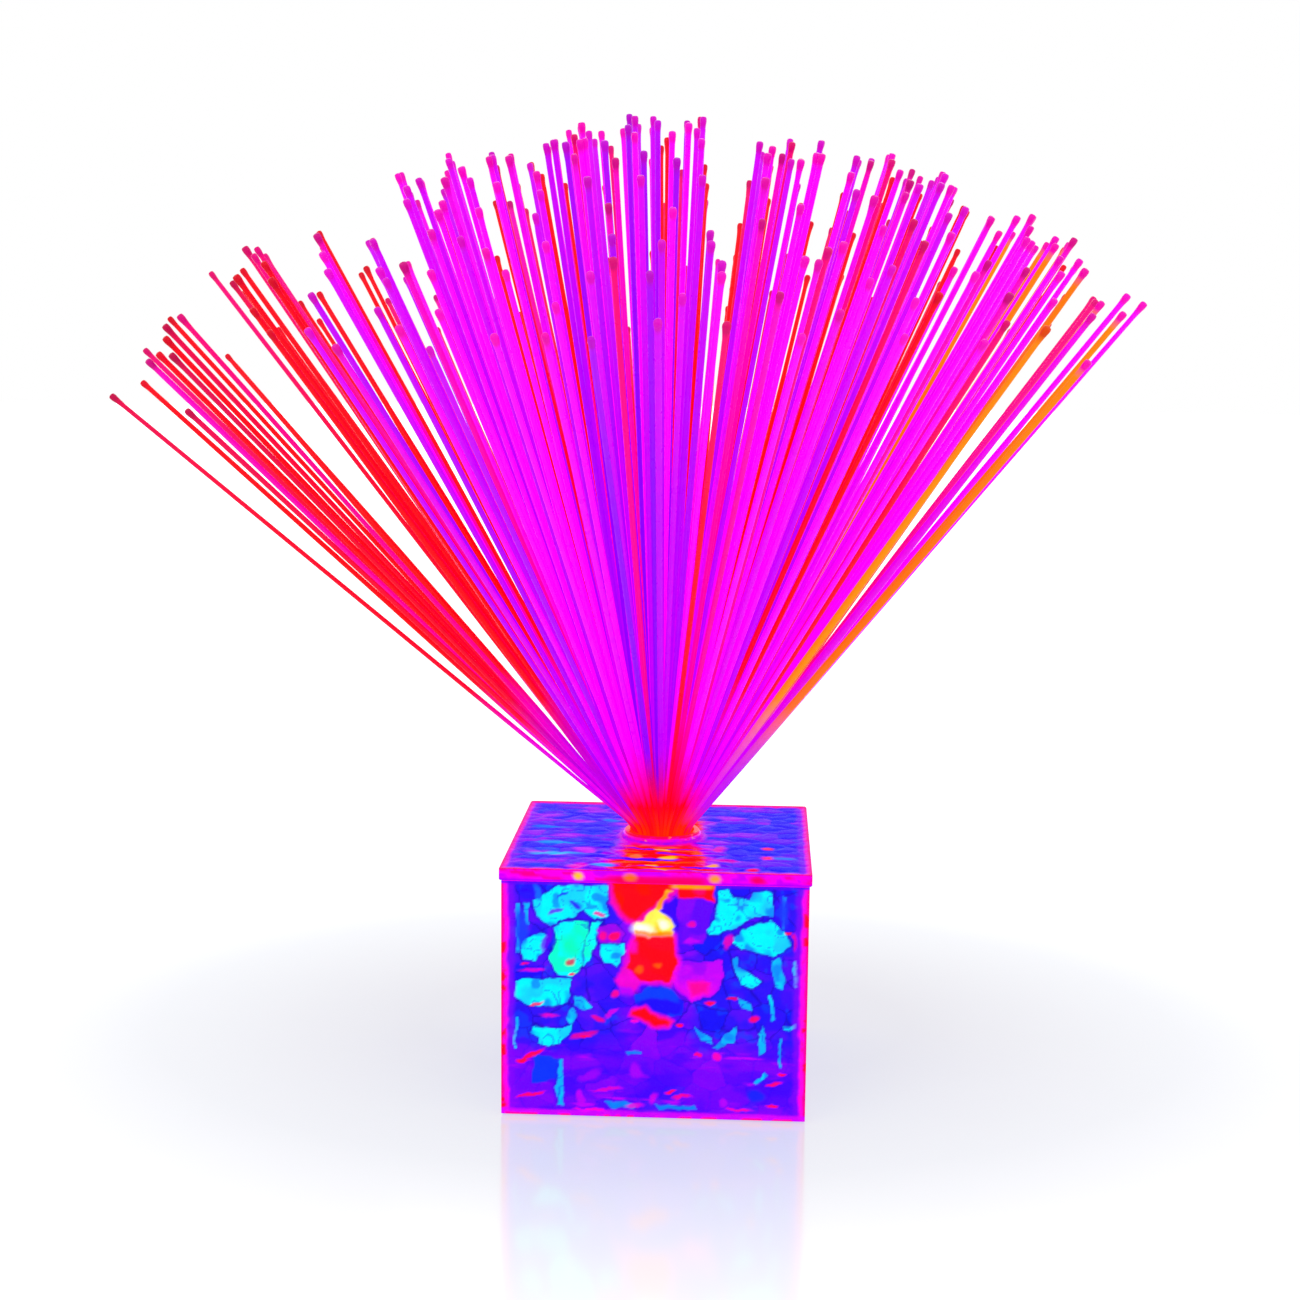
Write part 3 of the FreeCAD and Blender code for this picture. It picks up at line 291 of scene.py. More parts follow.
CYAN_RIGHT = [
    [(21, 77.7), (24.3, 78.2), (25.7, 75.7), (30.4, 75.2), (31.7, 77.3), (37.2, 77.4), (38, 69.7), (32.6, 69), (28.5, 66),
     (21.8, 63.7), (17.7, 63), (17, 64.3), (20.3, 68), (20, 72)],
    [(26, 62.4), (28.6, 64.6), (32.6, 66), (37.3, 68.3), (42.2, 65), (44, 60.8), (42.3, 58), (38.2, 56.4), (32.8, 57.7),
     (28, 58.2), (25.6, 60.3)],
    [(25.3, 55.4), (26.6, 56), (27.4, 52), (31.5, 50), (34.3, 47.8), (32.3, 45), (28.2, 46.2), (26.7, 50.5)],
]
SKY_RIGHT = [
    [(38.3, 55), (41, 55.8), (43, 49.5), (42.5, 45.2), (39, 46.5)],
    [(45.6, 55.2), (47, 55.2), (47.1, 46), (46.1, 46)],
    [(27.6, 42), (31.7, 40), (32, 37.7), (29, 38.3)],
    [(13.3, 31.6), (18.2, 28.2), (19.2, 25.7), (15.4, 26.7)],
    [(26.7, 32.7), (26.8, 27), (21, 24.3), (19.2, 24.7), (23, 29)],
    [(35.2, 33), (36.5, 30), (36, 23.7), (34.4, 23), (33.3, 26.5)],
    [(41, 28.8), (42, 29), (42.2, 19.2), (41.3, 19.2)],
    [(37, 43), (38.3, 43), (39.4, 35.2), (38, 35)],
    [(42.4, 33.5), (46.2, 34), (46.3, 32.7), (42.8, 32.4)],
    [(32.8, 13.4), (36.2, 17), (37.3, 16.2), (34.2, 13)],
    [(41.5, 76), (42.6, 76), (42.4, 66), (41.4, 66)],
]
LOW_BLUE = [
    [(-40.4, 21), (-31, 19.7), (-31, 12.5), (-39.7, 12.2)],
    [(-16, 5), (-10.6, 5.9), (-4.7, 4.9), (-5.7, 3.7), (-13.3, 3.3)],
    [(1, 5.1), (14.3, 5.5), (14.7, 4.1), (2, 3.7)],
    [(-9.3, 23.7), (-4.2, 23.7), (-3.7, 22.6), (-8, 22.3)],
]
# The light source and its cup behind the glass.
FUNNEL = [(-14.9, 82), (7.5, 82), (6, 76.7), (1.2, 71.7), (-1.5, 70.2), (-5.6, 66), (-8.7, 67.2), (-11.4, 70.6), (-13.5, 73.4)]
FUNNEL_SIDE = [(7, 80.4), (19.3, 80), (19, 74), (15.5, 75), (7.3, 75.4)]
FLAME = [(-6.4, 62.8), (-5.7, 65.7), (-1.5, 69.5), (0.9, 71.1), (5.5, 67.5), (6.2, 65.3), (6, 62.8)]
SPARK = [(0.1, 70.4), (2.3, 70.4), (5.7, 77.4), (4.5, 77.6)]
LAMP_BODY = [(-6.2, 62.4), (6.4, 62.6), (7, 54.2), (5.6, 46.4), (-3.3, 46.5), (-6.8, 49.6), (-9.4, 51), (-8.6, 56), (-6.8, 59.5)]
LAMP_HALO = [(-9.6, 52), (-5.4, 49), (-3.6, 45.4), (-6, 42.5), (-10.2, 42.4), (-12.3, 46.6)]
BLOB = [(6.9, 55), (15, 53.7), (22.6, 54.6), (23, 49.6), (19.3, 43.2), (12.5, 40.2), (7.7, 44.3), (5.8, 48.5)]
BLOB_HEART = [(11, 47.2), (18, 47.4), (17.3, 43.6), (12.6, 42.4)]
DOME = [(-5.4, 42.5), (0.1, 45.5), (5.6, 45), (9.8, 40.8), (8.8, 35.8), (3, 34.1), (-1.2, 36.8), (-5.3, 39.5)]
SWOOSH = [(-7.7, 37.3), (-2.6, 38.5), (-0.4, 36.3), (5.9, 33.4), (5.1, 31.3), (0.3, 31.1), (-5.3, 33.8), (-8, 35.2)]
SHADE_RIGHT = [(7.5, 75), (18.9, 74.4), (18.3, 67.2), (15.7, 60), (7.5, 59.8)]
SHADE_LEFT = [(-19, 64), (-15.2, 66.3), (-12.4, 66.4), (-9.7, 63), (-11, 60), (-18, 59.6)]
# small painted glints of the light in the glass: across, up, half length, half height, turn in degrees, colour
WALL_GLINTS = [
    (-18.2, 69.2, 1.9, 0.8, -5, "#e00090"), (-27.4, 52.6, 1.6, 1.3, 20, "#c80050"), (-27.2, 48.9, 1.2, 0.5, 10, "#f00060"),
    (-31.8, 69.6, 2.4, 0.9, 35, "#5a00e8"), (-26.2, 71.8, 2.6, 0.8, -40, "#2a10ff"), (-30, 75.2, 2.2, 0.6, 25, "#1830ff"),
    (-35.3, 59.6, 1.3, 4.6, -22, "#5a00f0"), (-43, 52.6, 1.4, 0.5, 10, "#f00070"), (-40, 49.8, 4.6, 0.8, 3, "#d400c8"),
    (-38.6, 38.6, 2.4, 0.7, 14, "#f00060"), (-34.4, 34.6, 3.2, 0.8, 4, "#d000c0"), (-18.6, 34.4, 2.4, 0.8, -20, "#e0008c"),
    (-23, 28, 4.4, 1.3, 20, "#d8009a"), (-22.2, 27.2, 1.4, 0.5, 10, "#ff0030"), (-40.5, 20.7, 4.8, 0.8, 28, "#ff0030"),
    (-43.6, 18.6, 2.4, 0.7, 6, "#ff0020"), (-40.6, 7.2, 5.2, 0.7, 14, "#f40060"), (-15, 10, 5.6, 0.7, 4, "#d000c0"),
    (5.6, 9.4, 1.9, 0.6, 12, "#ff0040"), (9.6, 8, 3.6, 0.6, 8, "#e80090"), (28.6, 4.2, 4.2, 0.6, -2, "#f000a0"),
    (39.6, 5.4, 2, 0.6, 2, "#ff0040"), (43, 16.6, 1.6, 0.6, 2, "#ff0030"), (40, 13.6, 2.8, 0.6, 6, "#f80060"),
    (20.4, 21.8, 1.6, 1.2, -20, "#f000b0"), (14.6, 22.2, 1.2, 0.6, 8, "#f00080"), (11.8, 66.2, 2, 1, 4, "#e000a0"),
    (12, 61.2, 2.6, 0.8, 2, "#b400ff"), (18.6, 40.6, 1.8, 0.9, 6, "#ff0040"), (25.6, 41.8, 2.2, 0.6, -6, "#e00050"),
    (32.8, 35.4, 1.6, 1.1, 30, "#f00060"), (24.4, 60.8, 1.2, 2.6, -24, "#d800b0"), (45.6, 61.6, 0.8, 3.2, 8, "#e80060"),
    (43.4, 64.2, 1.2, 0.6, 0, "#f00040"), (-12.4, 42.4, 1.6, 1.2, 20, "#f00090"), (-13, 62.2, 2, 1.6, 40, "#ff0050"),
    (-16.6, 62, 1.6, 1.8, 10, "#f00080"), (-6.6, 33, 1.2, 0.7, 0, "#e800c0"), (8.2, 32, 1.3, 0.7, -12, "#ff0040"),
    (-5.6, 16.6, 2.4, 2.6, 10, "#9a00ff"), (-21, 14.6, 4.6, 1.6, 20, "#8e00ff"), (-14, 36.2, 3, 0.8, 35, "#c400d8"),
    (-6, 4.6, 3.4, 0.8, 10, "#d000d0"), (0.4, 7.4, 2.4, 1.6, 70, "#c000e0"), (-24, 6.6, 1.6, 3.0, 10, "#b400e8"),
    (23.4, 6.4, 1.6, 1.8, 30, "#b000ff"), (-20.4, 2.6, 5.6, 0.6, 0, "#ff00b0"), (34, 8.8, 3.4, 2.2, 0, "#1020ff"),
    (-42.4, 76.2, 2.2, 0.7, 0, "#2800ff"), (-38.6, 76, 1.4, 3, 8, "#1060ff"), (42, 71, 1.8, 5.6, 4, "#1a30ff"),
    (-43.3, 64, 2.6, 7, 3, "#1838ff"),
]


def wall_paint(u, w, seed, flip):
    """Colour and relief of one wall. u runs across it from its middle, w is the height, in mm."""
    wu = (fbm(u, w, 7.0, seed) - 0.5) * (2.4 if seed == 11 else 5.5)
    ww = (fbm(u, w, 7.0, seed + 40) - 0.5) * (2.4 if seed == 11 else 5.5)
    fine = (fbm(u, w, 2.2, seed + 80) - 0.5) * 1.3
    p, q = u * flip + wu + fine, w + ww - fine * 0.7
    idx, d1, gap, s = cells(p, q, 8.6, seed + 3, y_mid=40.0, squeeze=1.15)
    r = np.random.default_rng(seed + 5)
    names, weights = [n for n, _ in VIOLETS], np.array([x for _, x in VIOLETS], float)
    pick = r.choice(len(names), size=len(s), p=weights / weights.sum())
    table = np.array([rgb(n) for n in names])
    low = smooth(34, 20, w)
    col = table[pick[idx]] * (1 - 0.55 * low[:, None]) + rgb("#6400ff") * (0.55 * low[:, None])
    # the pane's broad drift: bluer to the sides, more violet low down
    t = fbm(u, w, 16.0, seed + 9, 7.0)
    col = blend(col, rgb("#2a00ff"), smooth(0.52, 0.68, t) * 0.55)
    col = blend(col, rgb("#8a00ff"), smooth(0.44, 0.30, t) * 0.45)
    streak = fbm(u, w, 13.0, seed + 12, 1.7)
    col = blend(col, rgb("#a000ff"), smooth(0.62, 0.74, streak) * 0.5 * low)
    col = blend(col, rgb("#c800e6"), smooth(0.70, 0.80, streak) * 0.6 * low)
    flank = smooth(9.0, 15.0, np.abs(u * flip - 1.0)) * smooth(21.0, 29.0, w)
    deep = fbm(u, w, 9.0, seed + 15)
    col = blend(col, rgb("#1410e6"), flank * (0.50 + 0.35 * smooth(0.45, 0.6, deep)))
    col = blend(col, rgb("#0a34ff"), flank * smooth(0.60, 0.70, fbm(u, w, 5.0, seed + 17)) * 0.7)
    rim = smooth(0.85, 0.1, gap)
    col = blend(col, rgb(OUTLINE), rim * (0.70 - 0.42 * low))
    height = np.clip(gap / 3.2, 0, 1) ** 0.6 * 0.24

    def facet(c, h, poly, colour, edge=0.55, line=0.75, lift=0.12, vein=0.0, second=None, soft=0.25):
        d = poly_distance(p, q, poly)
        m = smooth(soft, -soft, d)
        ring = smooth(line + 0.55, line * 0.3, np.abs(d + 0.1)) * edge
        c = blend(c, rgb(OUTLINE), ring * (d > -0.4))
        fill = np.tile(rgb(colour), (len(d), 1))
        if second is not None:
            k = vnoise(p, q, 4.4, seed + len(poly) * 7 + int(abs(poly[0][0]) * 3))
            fill = blend(fill, rgb(second), smooth(0.48, 0.74, k))
        if vein > 0:
            k = vnoise(p, q, 3.3, seed + 21 + int(abs(poly[0][1])))
            fill = blend(fill, rgb("#0a7cff"), smooth(0.34, 0.16, k) * 0.85)
            fill = blend(fill, rgb("#1420d0"), smooth(vein, vein * 0.3, np.abs(k - 0.55)) * 0.6)
        c = c * (1 - m[:, None]) + fill * m[:, None]
        h = h * (1 - m) + (0.24 + lift * np.clip(-d / 2.5, 0, 1)) * m
        h = h - smooth(0.7, 0.0, np.abs(d)) * 0.14
        return c, h

    for poly in LOW_BLUE:
        col, height = facet(col, height, poly, "#0a30ff" if poly is LOW_BLUE[0] else "#0a78e8", 0.3, 0.4)
    for poly in SKY_LEFT + SKY_RIGHT:
        col, height = facet(col, height, poly, SKY, 0.5, 0.5, vein=0.05, second="#06c8ff")
    for k, poly in enumerate(CYAN_LEFT):
        col, height = facet(col, height, poly, CYAN, 0.7, 0.7, vein=0.035, second=AQUA if k in (1, 2) else "#10c8ff")
        if k == 1:
            heart = smooth(6.5, 1.0, np.hypot(p + 27.5, (q - 58.5) * 0.8))
            col = blend(col, rgb("#08ff96"), heart * 0.75)
    for poly in CYAN_RIGHT:
        col, height = facet(col, height, poly, CYAN, 0.7, 0.7, vein=0.035, second="#14c4ff")
    col, height = facet(col, height, SHADE_RIGHT, "#7a00ee", 0.3, 0.5, second="#5a00ff")
    col, height = facet(col, height, SHADE_LEFT, "#9400e0", 0.5, 0.5, second="#d80090")
    col, height = facet(col, height, DOME, "#1c08f4", 0.5, 0.7, second="#0838ff")
    col, height = facet(col, height, BLOB, "#b400f4", 0.55, 0.6, lift=0.25, second="#9000ff")
    low_blob = smooth(52, 44, q) * smooth(0.3, -1.2, poly_distance(p, q, BLOB))
    col = blend(col, rgb("#e000dc"), low_blob * 0.8)
    col, height = facet(col, height, BLOB_HEART, "#ff0096", 0.0, 0.4, soft=1.2)
    col, height = facet(col, height, LAMP_HALO, "#e000c8", 0.2, 0.4, second="#b000f0", soft=0.8)
    col, height = facet(col, height, FUNNEL, RED, 0.0, 0.5, second="#ff0a00", soft=0.5)
    dd = poly_distance(p, q, FUNNEL)
    col = blend(col, rgb("#f000a8"), smooth(1.6, 0.2, np.abs(dd)) * 0.85)
    col, height = facet(col, height, FUNNEL_SIDE, RED, 0.0, 0.5, second="#f00060", soft=0.6)
    bar = smooth(1.1, 0.2, np.abs(w - 79.0)) * smooth(8.0, 5.2, np.abs(u * flip - 12.0))
    col = blend(col, rgb("#ff9a00"), bar * 0.95)
    mg = poly_distance(p, q, LAMP_BODY)
    col = blend(col, rgb("#f000c0"), smooth(2.0, 0.3, np.abs(mg)) * 0.8)
    col, height = facet(col, height, LAMP_BODY, RED, 0.0, 0.5, lift=0.2, second="#ff0020", soft=0.4)
    ember = smooth(1.9, 0.4, np.hypot(p + 5.0, q - 50.6)) + smooth(2.2, 0.4, np.hypot(p - 0.8, (q - 52.6) * 1.6))
    col = blend(col, rgb("#ff5a00"), np.clip(ember, 0, 1) * 0.75)
    pinkish = smooth(2.6, 0.6, np.hypot(p + 7.0, (q - 58.4) * 0.7))
    col = blend(col, rgb("#f000c8"), pinkish * 0.8)
    col, height = facet(col, height, SPARK, "#ff8c10", 0.0, 0.3, second="#ffb020", soft=0.45)
    col, height = facet(col, height, FLAME, "#ffc400", 0.0, 0.3, lift=0.3, second="#ffe650", soft=0.45)
    core = smooth(4.2, 0.8, np.hypot((p + 3.6) * 0.8, (q - 64.4) * 1.4)) + smooth(2.6, 0.5, np.hypot(p - 3.4, (q - 66.0) * 1.2)) * 0.8
    col = blend(col, rgb("#fffff0"), np.clip(core, 0, 1) * 0.92)
    foot = smooth(1.3, 0.2, np.abs(q - 63.2)) * smooth(6.8, 5.6, np.abs(p))
    col = blend(col, rgb("#ff7800"), foot * 0.85)
    col, height = facet(col, height, SWOOSH, RED, 0.0, 0.5, second="#ff1e00", soft=0.5)
    sw = poly_distance(p, q, SWOOSH)
    col = blend(col, rgb("#e800b4"), smooth(1.2, 0.1, np.abs(sw)) * 0.7)
    # painted glints: small patches of the inner light on the pane
    for cx, cy, a, b, turn, name in WALL_GLINTS:
        c, sn = math.cos(math.radians(turn)), math.sin(math.radians(turn))
        x, y = (p - cx) * c + (q - cy) * sn, -(p - cx) * sn + (q - cy) * c
        m = smooth(1.25, 0.55, np.hypot(x / a, y / b))
        col = blend(col, rgb(name), m * 0.92)
    # seams: the light gathers in the pane's edges
    e = np.minimum(50.0 - np.abs(u), 50.0)
    wob = (fbm(u, w, 5.0, seed + 60) - 0.5) * 1.6
    col = blend(col, rgb("#7c00ff"), smooth(5.2, 3.2, e + wob) * 0.75)
    col = blend(col, rgb("#f400d8"), smooth(2.9, 1.5, e + wob * 1.1))
    col = blend(col, rgb("#e6006e"), smooth(1.1, 0.5, e + wob * 0.5) * 0.8)
    spots = fbm(u, w, 4.2, seed + 66)
    col = blend(col, rgb("#ff0030"), smooth(2.2, 1.0, e) * smooth(0.60, 0.68, spots))
    f = w - 0.8
    col = blend(col, rgb("#d200ff"), smooth(2.3, 1.4, f + wob * 0.6) * 0.8)
    col = blend(col, rgb("#ff00a0"), smooth(1.0, 0.4, f + wob * 0.3) * smooth(0.42, 0.56, spots))
    top = 79.6 - w
    col = blend(col, rgb("#5a00ff"), smooth(1.2, 0.5, top + wob * 0.3) * 0.8 * (np.abs(u * flip - 2.5) > 18))
    height = height + (fbm(u, w, 2.4, seed + 90) - 0.5) * 0.16
    return np.clip(col, 0, 1), np.clip(height, 0, 0.6)


def wall(name, seed, flip, half, place):
    """A closed pane with a hammered outer face. place(u, w, depth) gives the point in mm."""
    step = 0.45
    nu, nw = int(2 * half / step) + 1, int(78.8 / step) + 1
    us, ws = np.linspace(-half, half, nu), np.linspace(0.8, 79.6, nw)
    U, W = np.meshgrid(us, ws)
    u, w = U.ravel(), W.ravel()
    col, h = wall_paint(u, w, seed, flip)
    edge = np.minimum(np.minimum(half - np.abs(u), w - 0.8), 79.6 - w)
    depth = (0.62 - h) * smooth(0.0, 1.6, edge) + 0.35 * smooth(0.6, 0.0, half - np.abs(u))
    verts = [place(a, b, c) for a, b, c in zip(u, w, depth)]
    faces = []
    for j in range(nw - 1):
        for i in range(nu - 1):
            a = j * nu + i
            faces.append((a, a + 1, a + 1 + nu, a + nu))
    loop = ([i for i in range(nu)] + [j * nu + nu - 1 for j in range(1, nw)]
            + [(nw - 1) * nu + i for i in range(nu - 2, -1, -1)] + [j * nu for j in range(nw - 2, 0, -1)])
    n0 = len(verts)
    cols = [col]
    rings = ((1.6, "#e600c8"), (4.0, "#7000ff"))
    previous = loop
    for depth_at, tone in rings:
        ring = []
        for k in loop:
            ring.append(len(verts))
            verts.append(place(u[k], w[k], depth_at))
        cols.append(np.tile(rgb(tone), (len(loop), 1)))
        for a in range(len(loop)):
            b = (a + 1) % len(loop)
            faces.append((previous[b], previous[a], ring[a], ring[b]))
        previous = ring
    centre = len(verts)
    verts.append(place(0.0, 40.0, 4.0))
    cols.append(rgb("#7000ff")[None, :])
    for a in range(len(loop)):
        b = (a + 1) % len(loop)
        faces.append((previous[b], previous[a], centre))
    ob = new_mesh(name, np.array(verts) * MM, faces, np.vstack(cols))
    me = ob.data
    me.polygons.foreach_set("use_smooth", [True] * len(me.polygons))
    fix_normals(ob)
    return ob


def fix_normals(ob):
    import bmesh
    bm = bmesh.new()
    bm.from_mesh(ob.data)
    bmesh.ops.recalc_face_normals(bm, faces=bm.faces)
    bm.to_mesh(ob.data)
    bm.free()


glass_mat = painted("hammered_glass_lit", 0.94, 0.30, (0.08, 0.32), 0.04, 420.0, 0.0004, 0.35)
lid_mat = painted("hammered_lid_lit", 0.92, 0.30, (0.10, 0.34), 0.006, 380.0, 0.0004, 0.35)

walls = {
    "glass_front": (11, 1, 50.0, lambda u, w, d: (u, -50.0 + d, w)),
    "glass_back": (23, -1, 50.0, lambda u, w, d: (-u, 50.0 - d, w)),
    "glass_right": (37, 1, 46.0, lambda u, w, d: (50.0 - d, u, w)),
    "glass_left": (53, -1, 46.0, lambda u, w, d: (-50.0 + d, -u, w)),
}
for name, (seed, flip, half, place) in walls.items():
    ob = wall(name + "_hammered", seed, flip, half, place)
    ob.data.materials.append(glass_mat)
    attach(ob, "base")
    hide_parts(name)


# ---- lid -----------------------------------------------------------------------
LID_HALF, LID_HOLE, LID_TOP, LID_LOW = 50.8, 13.1, 84.0, 80.0
GLINTS = [  # x, y, half length, half depth, colour, on the lid's top
    (1.2, -19.2, 3.0, 1.6, "#ffb400"), (4.0, -31.5, 3.2, 2.0, "#ffc400"), (-1.4, -41.8, 2.0, 1.8, "#ffb000"),
    (1.8, -46.6, 3.0, 1.4, "#ff9a00"), (-7.2, -29.8, 2.2, 2.2, "#ff7040"), (18.6, -40.4, 2.4, 2.0, "#ffa800"),
    (31.4, -44.8, 2.4, 2.4, "#ff0050"), (37.2, -29.2, 2.4, 2.6, "#ff0060"), (37.0, -14.0, 2.0, 2.2, "#f00060"),
    (-34.2, -28.0, 9.0, 2.2, "#00b4f0"), (-35.7, -12.3, 8.0, 1.6, "#0090ff"), (-40.2, 10.7, 6.0, 1.8, "#1070ff"),
    (-18.3, -41.8, 4.0, 2.4, "#10a0ff"), (-19.0, 23.2, 3.0, 1.6, "#1070ff"), (42.4, -28.7, 3.6, 1.8, "#1070ff"),
    (-30.8, 20.3, 7.0, 2.4, "#a000ff"), (-32.1, -0.4, 6.0, 1.8, "#a400f0"), (-24.9, -22.5, 3.0, 4.0, "#c000f0"),
    (-26.1, -43.0, 3.6, 4.0, "#e000c8"), (23.0, 28.9, 6.0, 4.0, "#a000ff"), (20.7, -18.2, 2.4, 4.0, "#d800c0"),
    (23.0, -34.0, 6.0, 2.6, "#d000c0"), (-37.0, -43.0, 5.0, 2.0, "#1830ff"), (30.0, -30.0, 6.0, 3.4, "#2010ff"),
    (-12.0, -8.5, 2.6, 3.4, "#d800d8"), (-24.0, 4.0, 8.0, 4.0, "#1818ff"), (-22.0, -30.0, 7.0, 3.4, "#2808ff"),
]


def lid_paint(x, y):
    wx, wy = (fbm(x, y, 8.0, 301) - 0.5) * 5.0, (fbm(x, y, 8.0, 331) - 0.5) * 5.0
    p, q = x + wx, y + wy
    idx, d1, gap, s = cells(p * 0.72, q, 6.6, 305)
    r = np.random.default_rng(307)
    tones = [("#2a00ff", 30), ("#4400ff", 28), ("#6000ff", 18), ("#1408ff", 14), ("#8c00ff", 7), ("#0c40ff", 3)]
    wts = np.array([b for _, b in tones], float)
    pick = r.choice(len(tones), size=len(s), p=wts / wts.sum())
    col = np.array([rgb(a) for a, _ in tones])[pick[idx]]
    t = fbm(x, y, 15.0, 311, 6.0)
    col = blend(col, rgb("#1a10ff"), smooth(0.54, 0.68, t) * 0.6)
    col = blend(col, rgb("#8200ff"), smooth(0.42, 0.30, t) * 0.7)
    col = blend(col, rgb("#b400f0"), smooth(0.30, 0.20, t) * 0.7)
    col = blend(col, rgb("#1a00c0"), smooth(0.8, 0.1, gap) * 0.45)
    # light that the cup throws out under the lid, to the front and the back
    for side in (-1, 1):
        v = -q * side if side == 1 else q * -1.0
        reach = np.where(side * y < 0, -side * y, 0.0)
        width = 8.5 + 0.18 * reach + (fbm(x, y, 5.0, 320) - 0.5) * 9.0
        m = smooth(width + 2.5, width - 2.5, np.abs(x - 1.0)) * smooth(2.0, 9.0, reach)
        if side == -1:
            m = m * smooth(34.0, 18.0, reach)
        mg = smooth(width + 8.0, width, np.abs(x - 1.0)) * smooth(2.0, 9.0, reach)
        if side == -1:
            mg = mg * smooth(36.0, 20.0, reach)
        bars = fbm(x, y, 12.0, 341, 2.6)
        col = blend(col, rgb("#d400d8"), mg * smooth(0.34, 0.5, bars) * 0.85)
        col = blend(col, rgb("#ff0a10"), m * smooth(0.26, 0.38, bars))
        col = blend(col, rgb("#ff5000"), m * smooth(0.60, 0.70, bars) * 0.8)
    near = np.hypot(x, y)
    col = blend(col, rgb("#d800c8"), smooth(16.4, 14.4, near) * 0.7)
    for cx, cy, a, b, name in GLINTS:
        m = smooth(1.3, 0.5, np.hypot((p - cx) / a, (q - cy) / b))
        col = blend(col, rgb(name), m * 0.95)
    e = np.minimum(LID_HALF - np.abs(x), LID_HALF - np.abs(y))
    wob = (fbm(x, y, 5.0, 351) - 0.5) * 1.6
    ex, ey = LID_HALF - np.abs(x), LID_HALF - np.abs(y)
    col = blend(col, rgb("#8200ff"), smooth(5.0, 3.0, e + wob) * 0.7)
    col = blend(col, rgb("#e600c8"), smooth(2.6, 1.4, ex + wob * 0.6) + 0 * ex)
    col = blend(col, rgb("#f000a0"), smooth(3.4, 1.6, ey + wob * 0.6) * 0.95)
    col = blend(col, rgb("#dc0050"), smooth(1.1, 0.4, e + wob * 0.3) * 0.85)
    height = np.clip(gap / 3.0, 0, 1) ** 0.6 * 0.3 + (fbm(x, y, 2.4, 361) - 0.5) * 0.14
    return np.clip(col, 0, 1), np.clip(height, 0, 0.5)


def lid_side_paint(x, y, z):
    """The lid's edge band, where the light comes out of the glass."""
    along = np.where(np.abs(x) > np.abs(y), y, x)
    t = fbm(along + x * 0.1, z * 3.0, 7.0, 371)
    col = np.tile(rgb("#f800e0"), (len(x), 1))
    col = blend(col, rgb("#b800ff"), smooth(0.46, 0.60, t) * 0.85)
    col = blend(col, rgb("#ff0070"), smooth(0.36, 0.28, t) * 0.8)
    col = blend(col, rgb("#8a00ff"), smooth(81.3, 80.3, z) * 0.7)
    mid = smooth(21.0, 12.0, np.abs(along - 1.5)) * (np.abs(y) > np.abs(x))
    col = blend(col, rgb("#ff0030"), mid * smooth(83.4, 81.6, z) * 0.9)
    for at, half, name in ((-24.8, 1.9, "#ffc000"), (19.4, 2.2, "#ff9600"), (-8.0, 2.6, "#ff6a10"), (33.0, 3.0, "#ff0060")):
        m = smooth(1.2, 0.4, np.hypot((along - at) / half, (z - 82.0) / 1.5)) * (y < 0) * (np.abs(y) > np.abs(x))
        col = blend(col, rgb(name), m)
    return np.clip(col, 0, 1)


def square_edge(a, half, corner):
    """Point of the rounded square at the angle a."""
    c, s = math.cos(a), math.sin(a)
    k = half / max(abs(c), abs(s))
    x, y = c * k, s * k
    i = half - corner
    if abs(x) > i and abs(y) > i:
        dx, dy = abs(x) - i, abs(y) - i
        f = corner / math.hypot(dx, dy)
        x, y = math.copysign(i + dx * f, x), math.copysign(i + dy * f, y)
    return x, y


def lid():
    m, k = ((560, 84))
    angles = [math.pi / 4 + 2 * math.pi * i / m for i in range(m)]
    edge = np.array([square_edge(a, LID_HALF, 0.8) for a in angles])
    hole = np.array([(LID_HOLE * math.cos(a), LID_HOLE * math.sin(a)) for a in angles])
    inner_edge = np.array([square_edge(a, LID_HALF - 0.3, 0.6) for a in angles])
    rings, cols = [], []
    for j in range(k + 1):
        t = j / k
        xy = hole * (1 - t) + inner_edge * t
        c, h = lid_paint(xy[:, 0], xy[:, 1])
        e = np.minimum(np.minimum(LID_HALF - np.abs(xy[:, 0]), LID_HALF - np.abs(xy[:, 1])), np.hypot(xy[:, 0], xy[:, 1]) - 14.2)
        z = LID_TOP - (0.5 - h) * smooth(0.3, 1.9, e)
        rings.append(np.column_stack([xy, z]))
        cols.append(c)
    for z in (83.7, 82.9, 82.0, 81.1, 80.3):
        rings.append(np.column_stack([edge, np.full(m, z)]))
        cols.append(lid_side_paint(edge[:, 0], edge[:, 1], np.full(m, z)))
    rings.append(np.column_stack([inner_edge, np.full(m, LID_LOW)]))
    cols.append(lid_side_paint(edge[:, 0], edge[:, 1], np.full(m, LID_LOW)))
    rings.append(np.column_stack([hole, np.full(m, LID_LOW)]))
    cols.append(np.tile(rgb("#ff1020"), (m, 1)))
    verts = np.vstack(rings)
    faces = []
    n = len(rings)
    for j in range(n):
        for i in range(m):
            a, b = j * m + i, j * m + (i + 1) % m
            c, d = ((j + 1) % n) * m + (i + 1) % m, ((j + 1) % n) * m + i
            faces.append((a, b, c, d))
    ob = new_mesh("glass_lid_hammered", verts * MM, faces, np.vstack(cols))
    ob.data.polygons.foreach_set("use_smooth", [True] * len(ob.data.polygons))
    fix_normals(ob)
    return ob


lid_ob = lid()
lid_ob.data.materials.append(lid_mat)
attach(lid_ob, "base")
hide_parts("glass_lid")


# ---- fibres --------------------------------------------------------------------
STRAIGHT_TO, BEND_RISE, CORE_TOP = 82.0, 8.0, 80.0


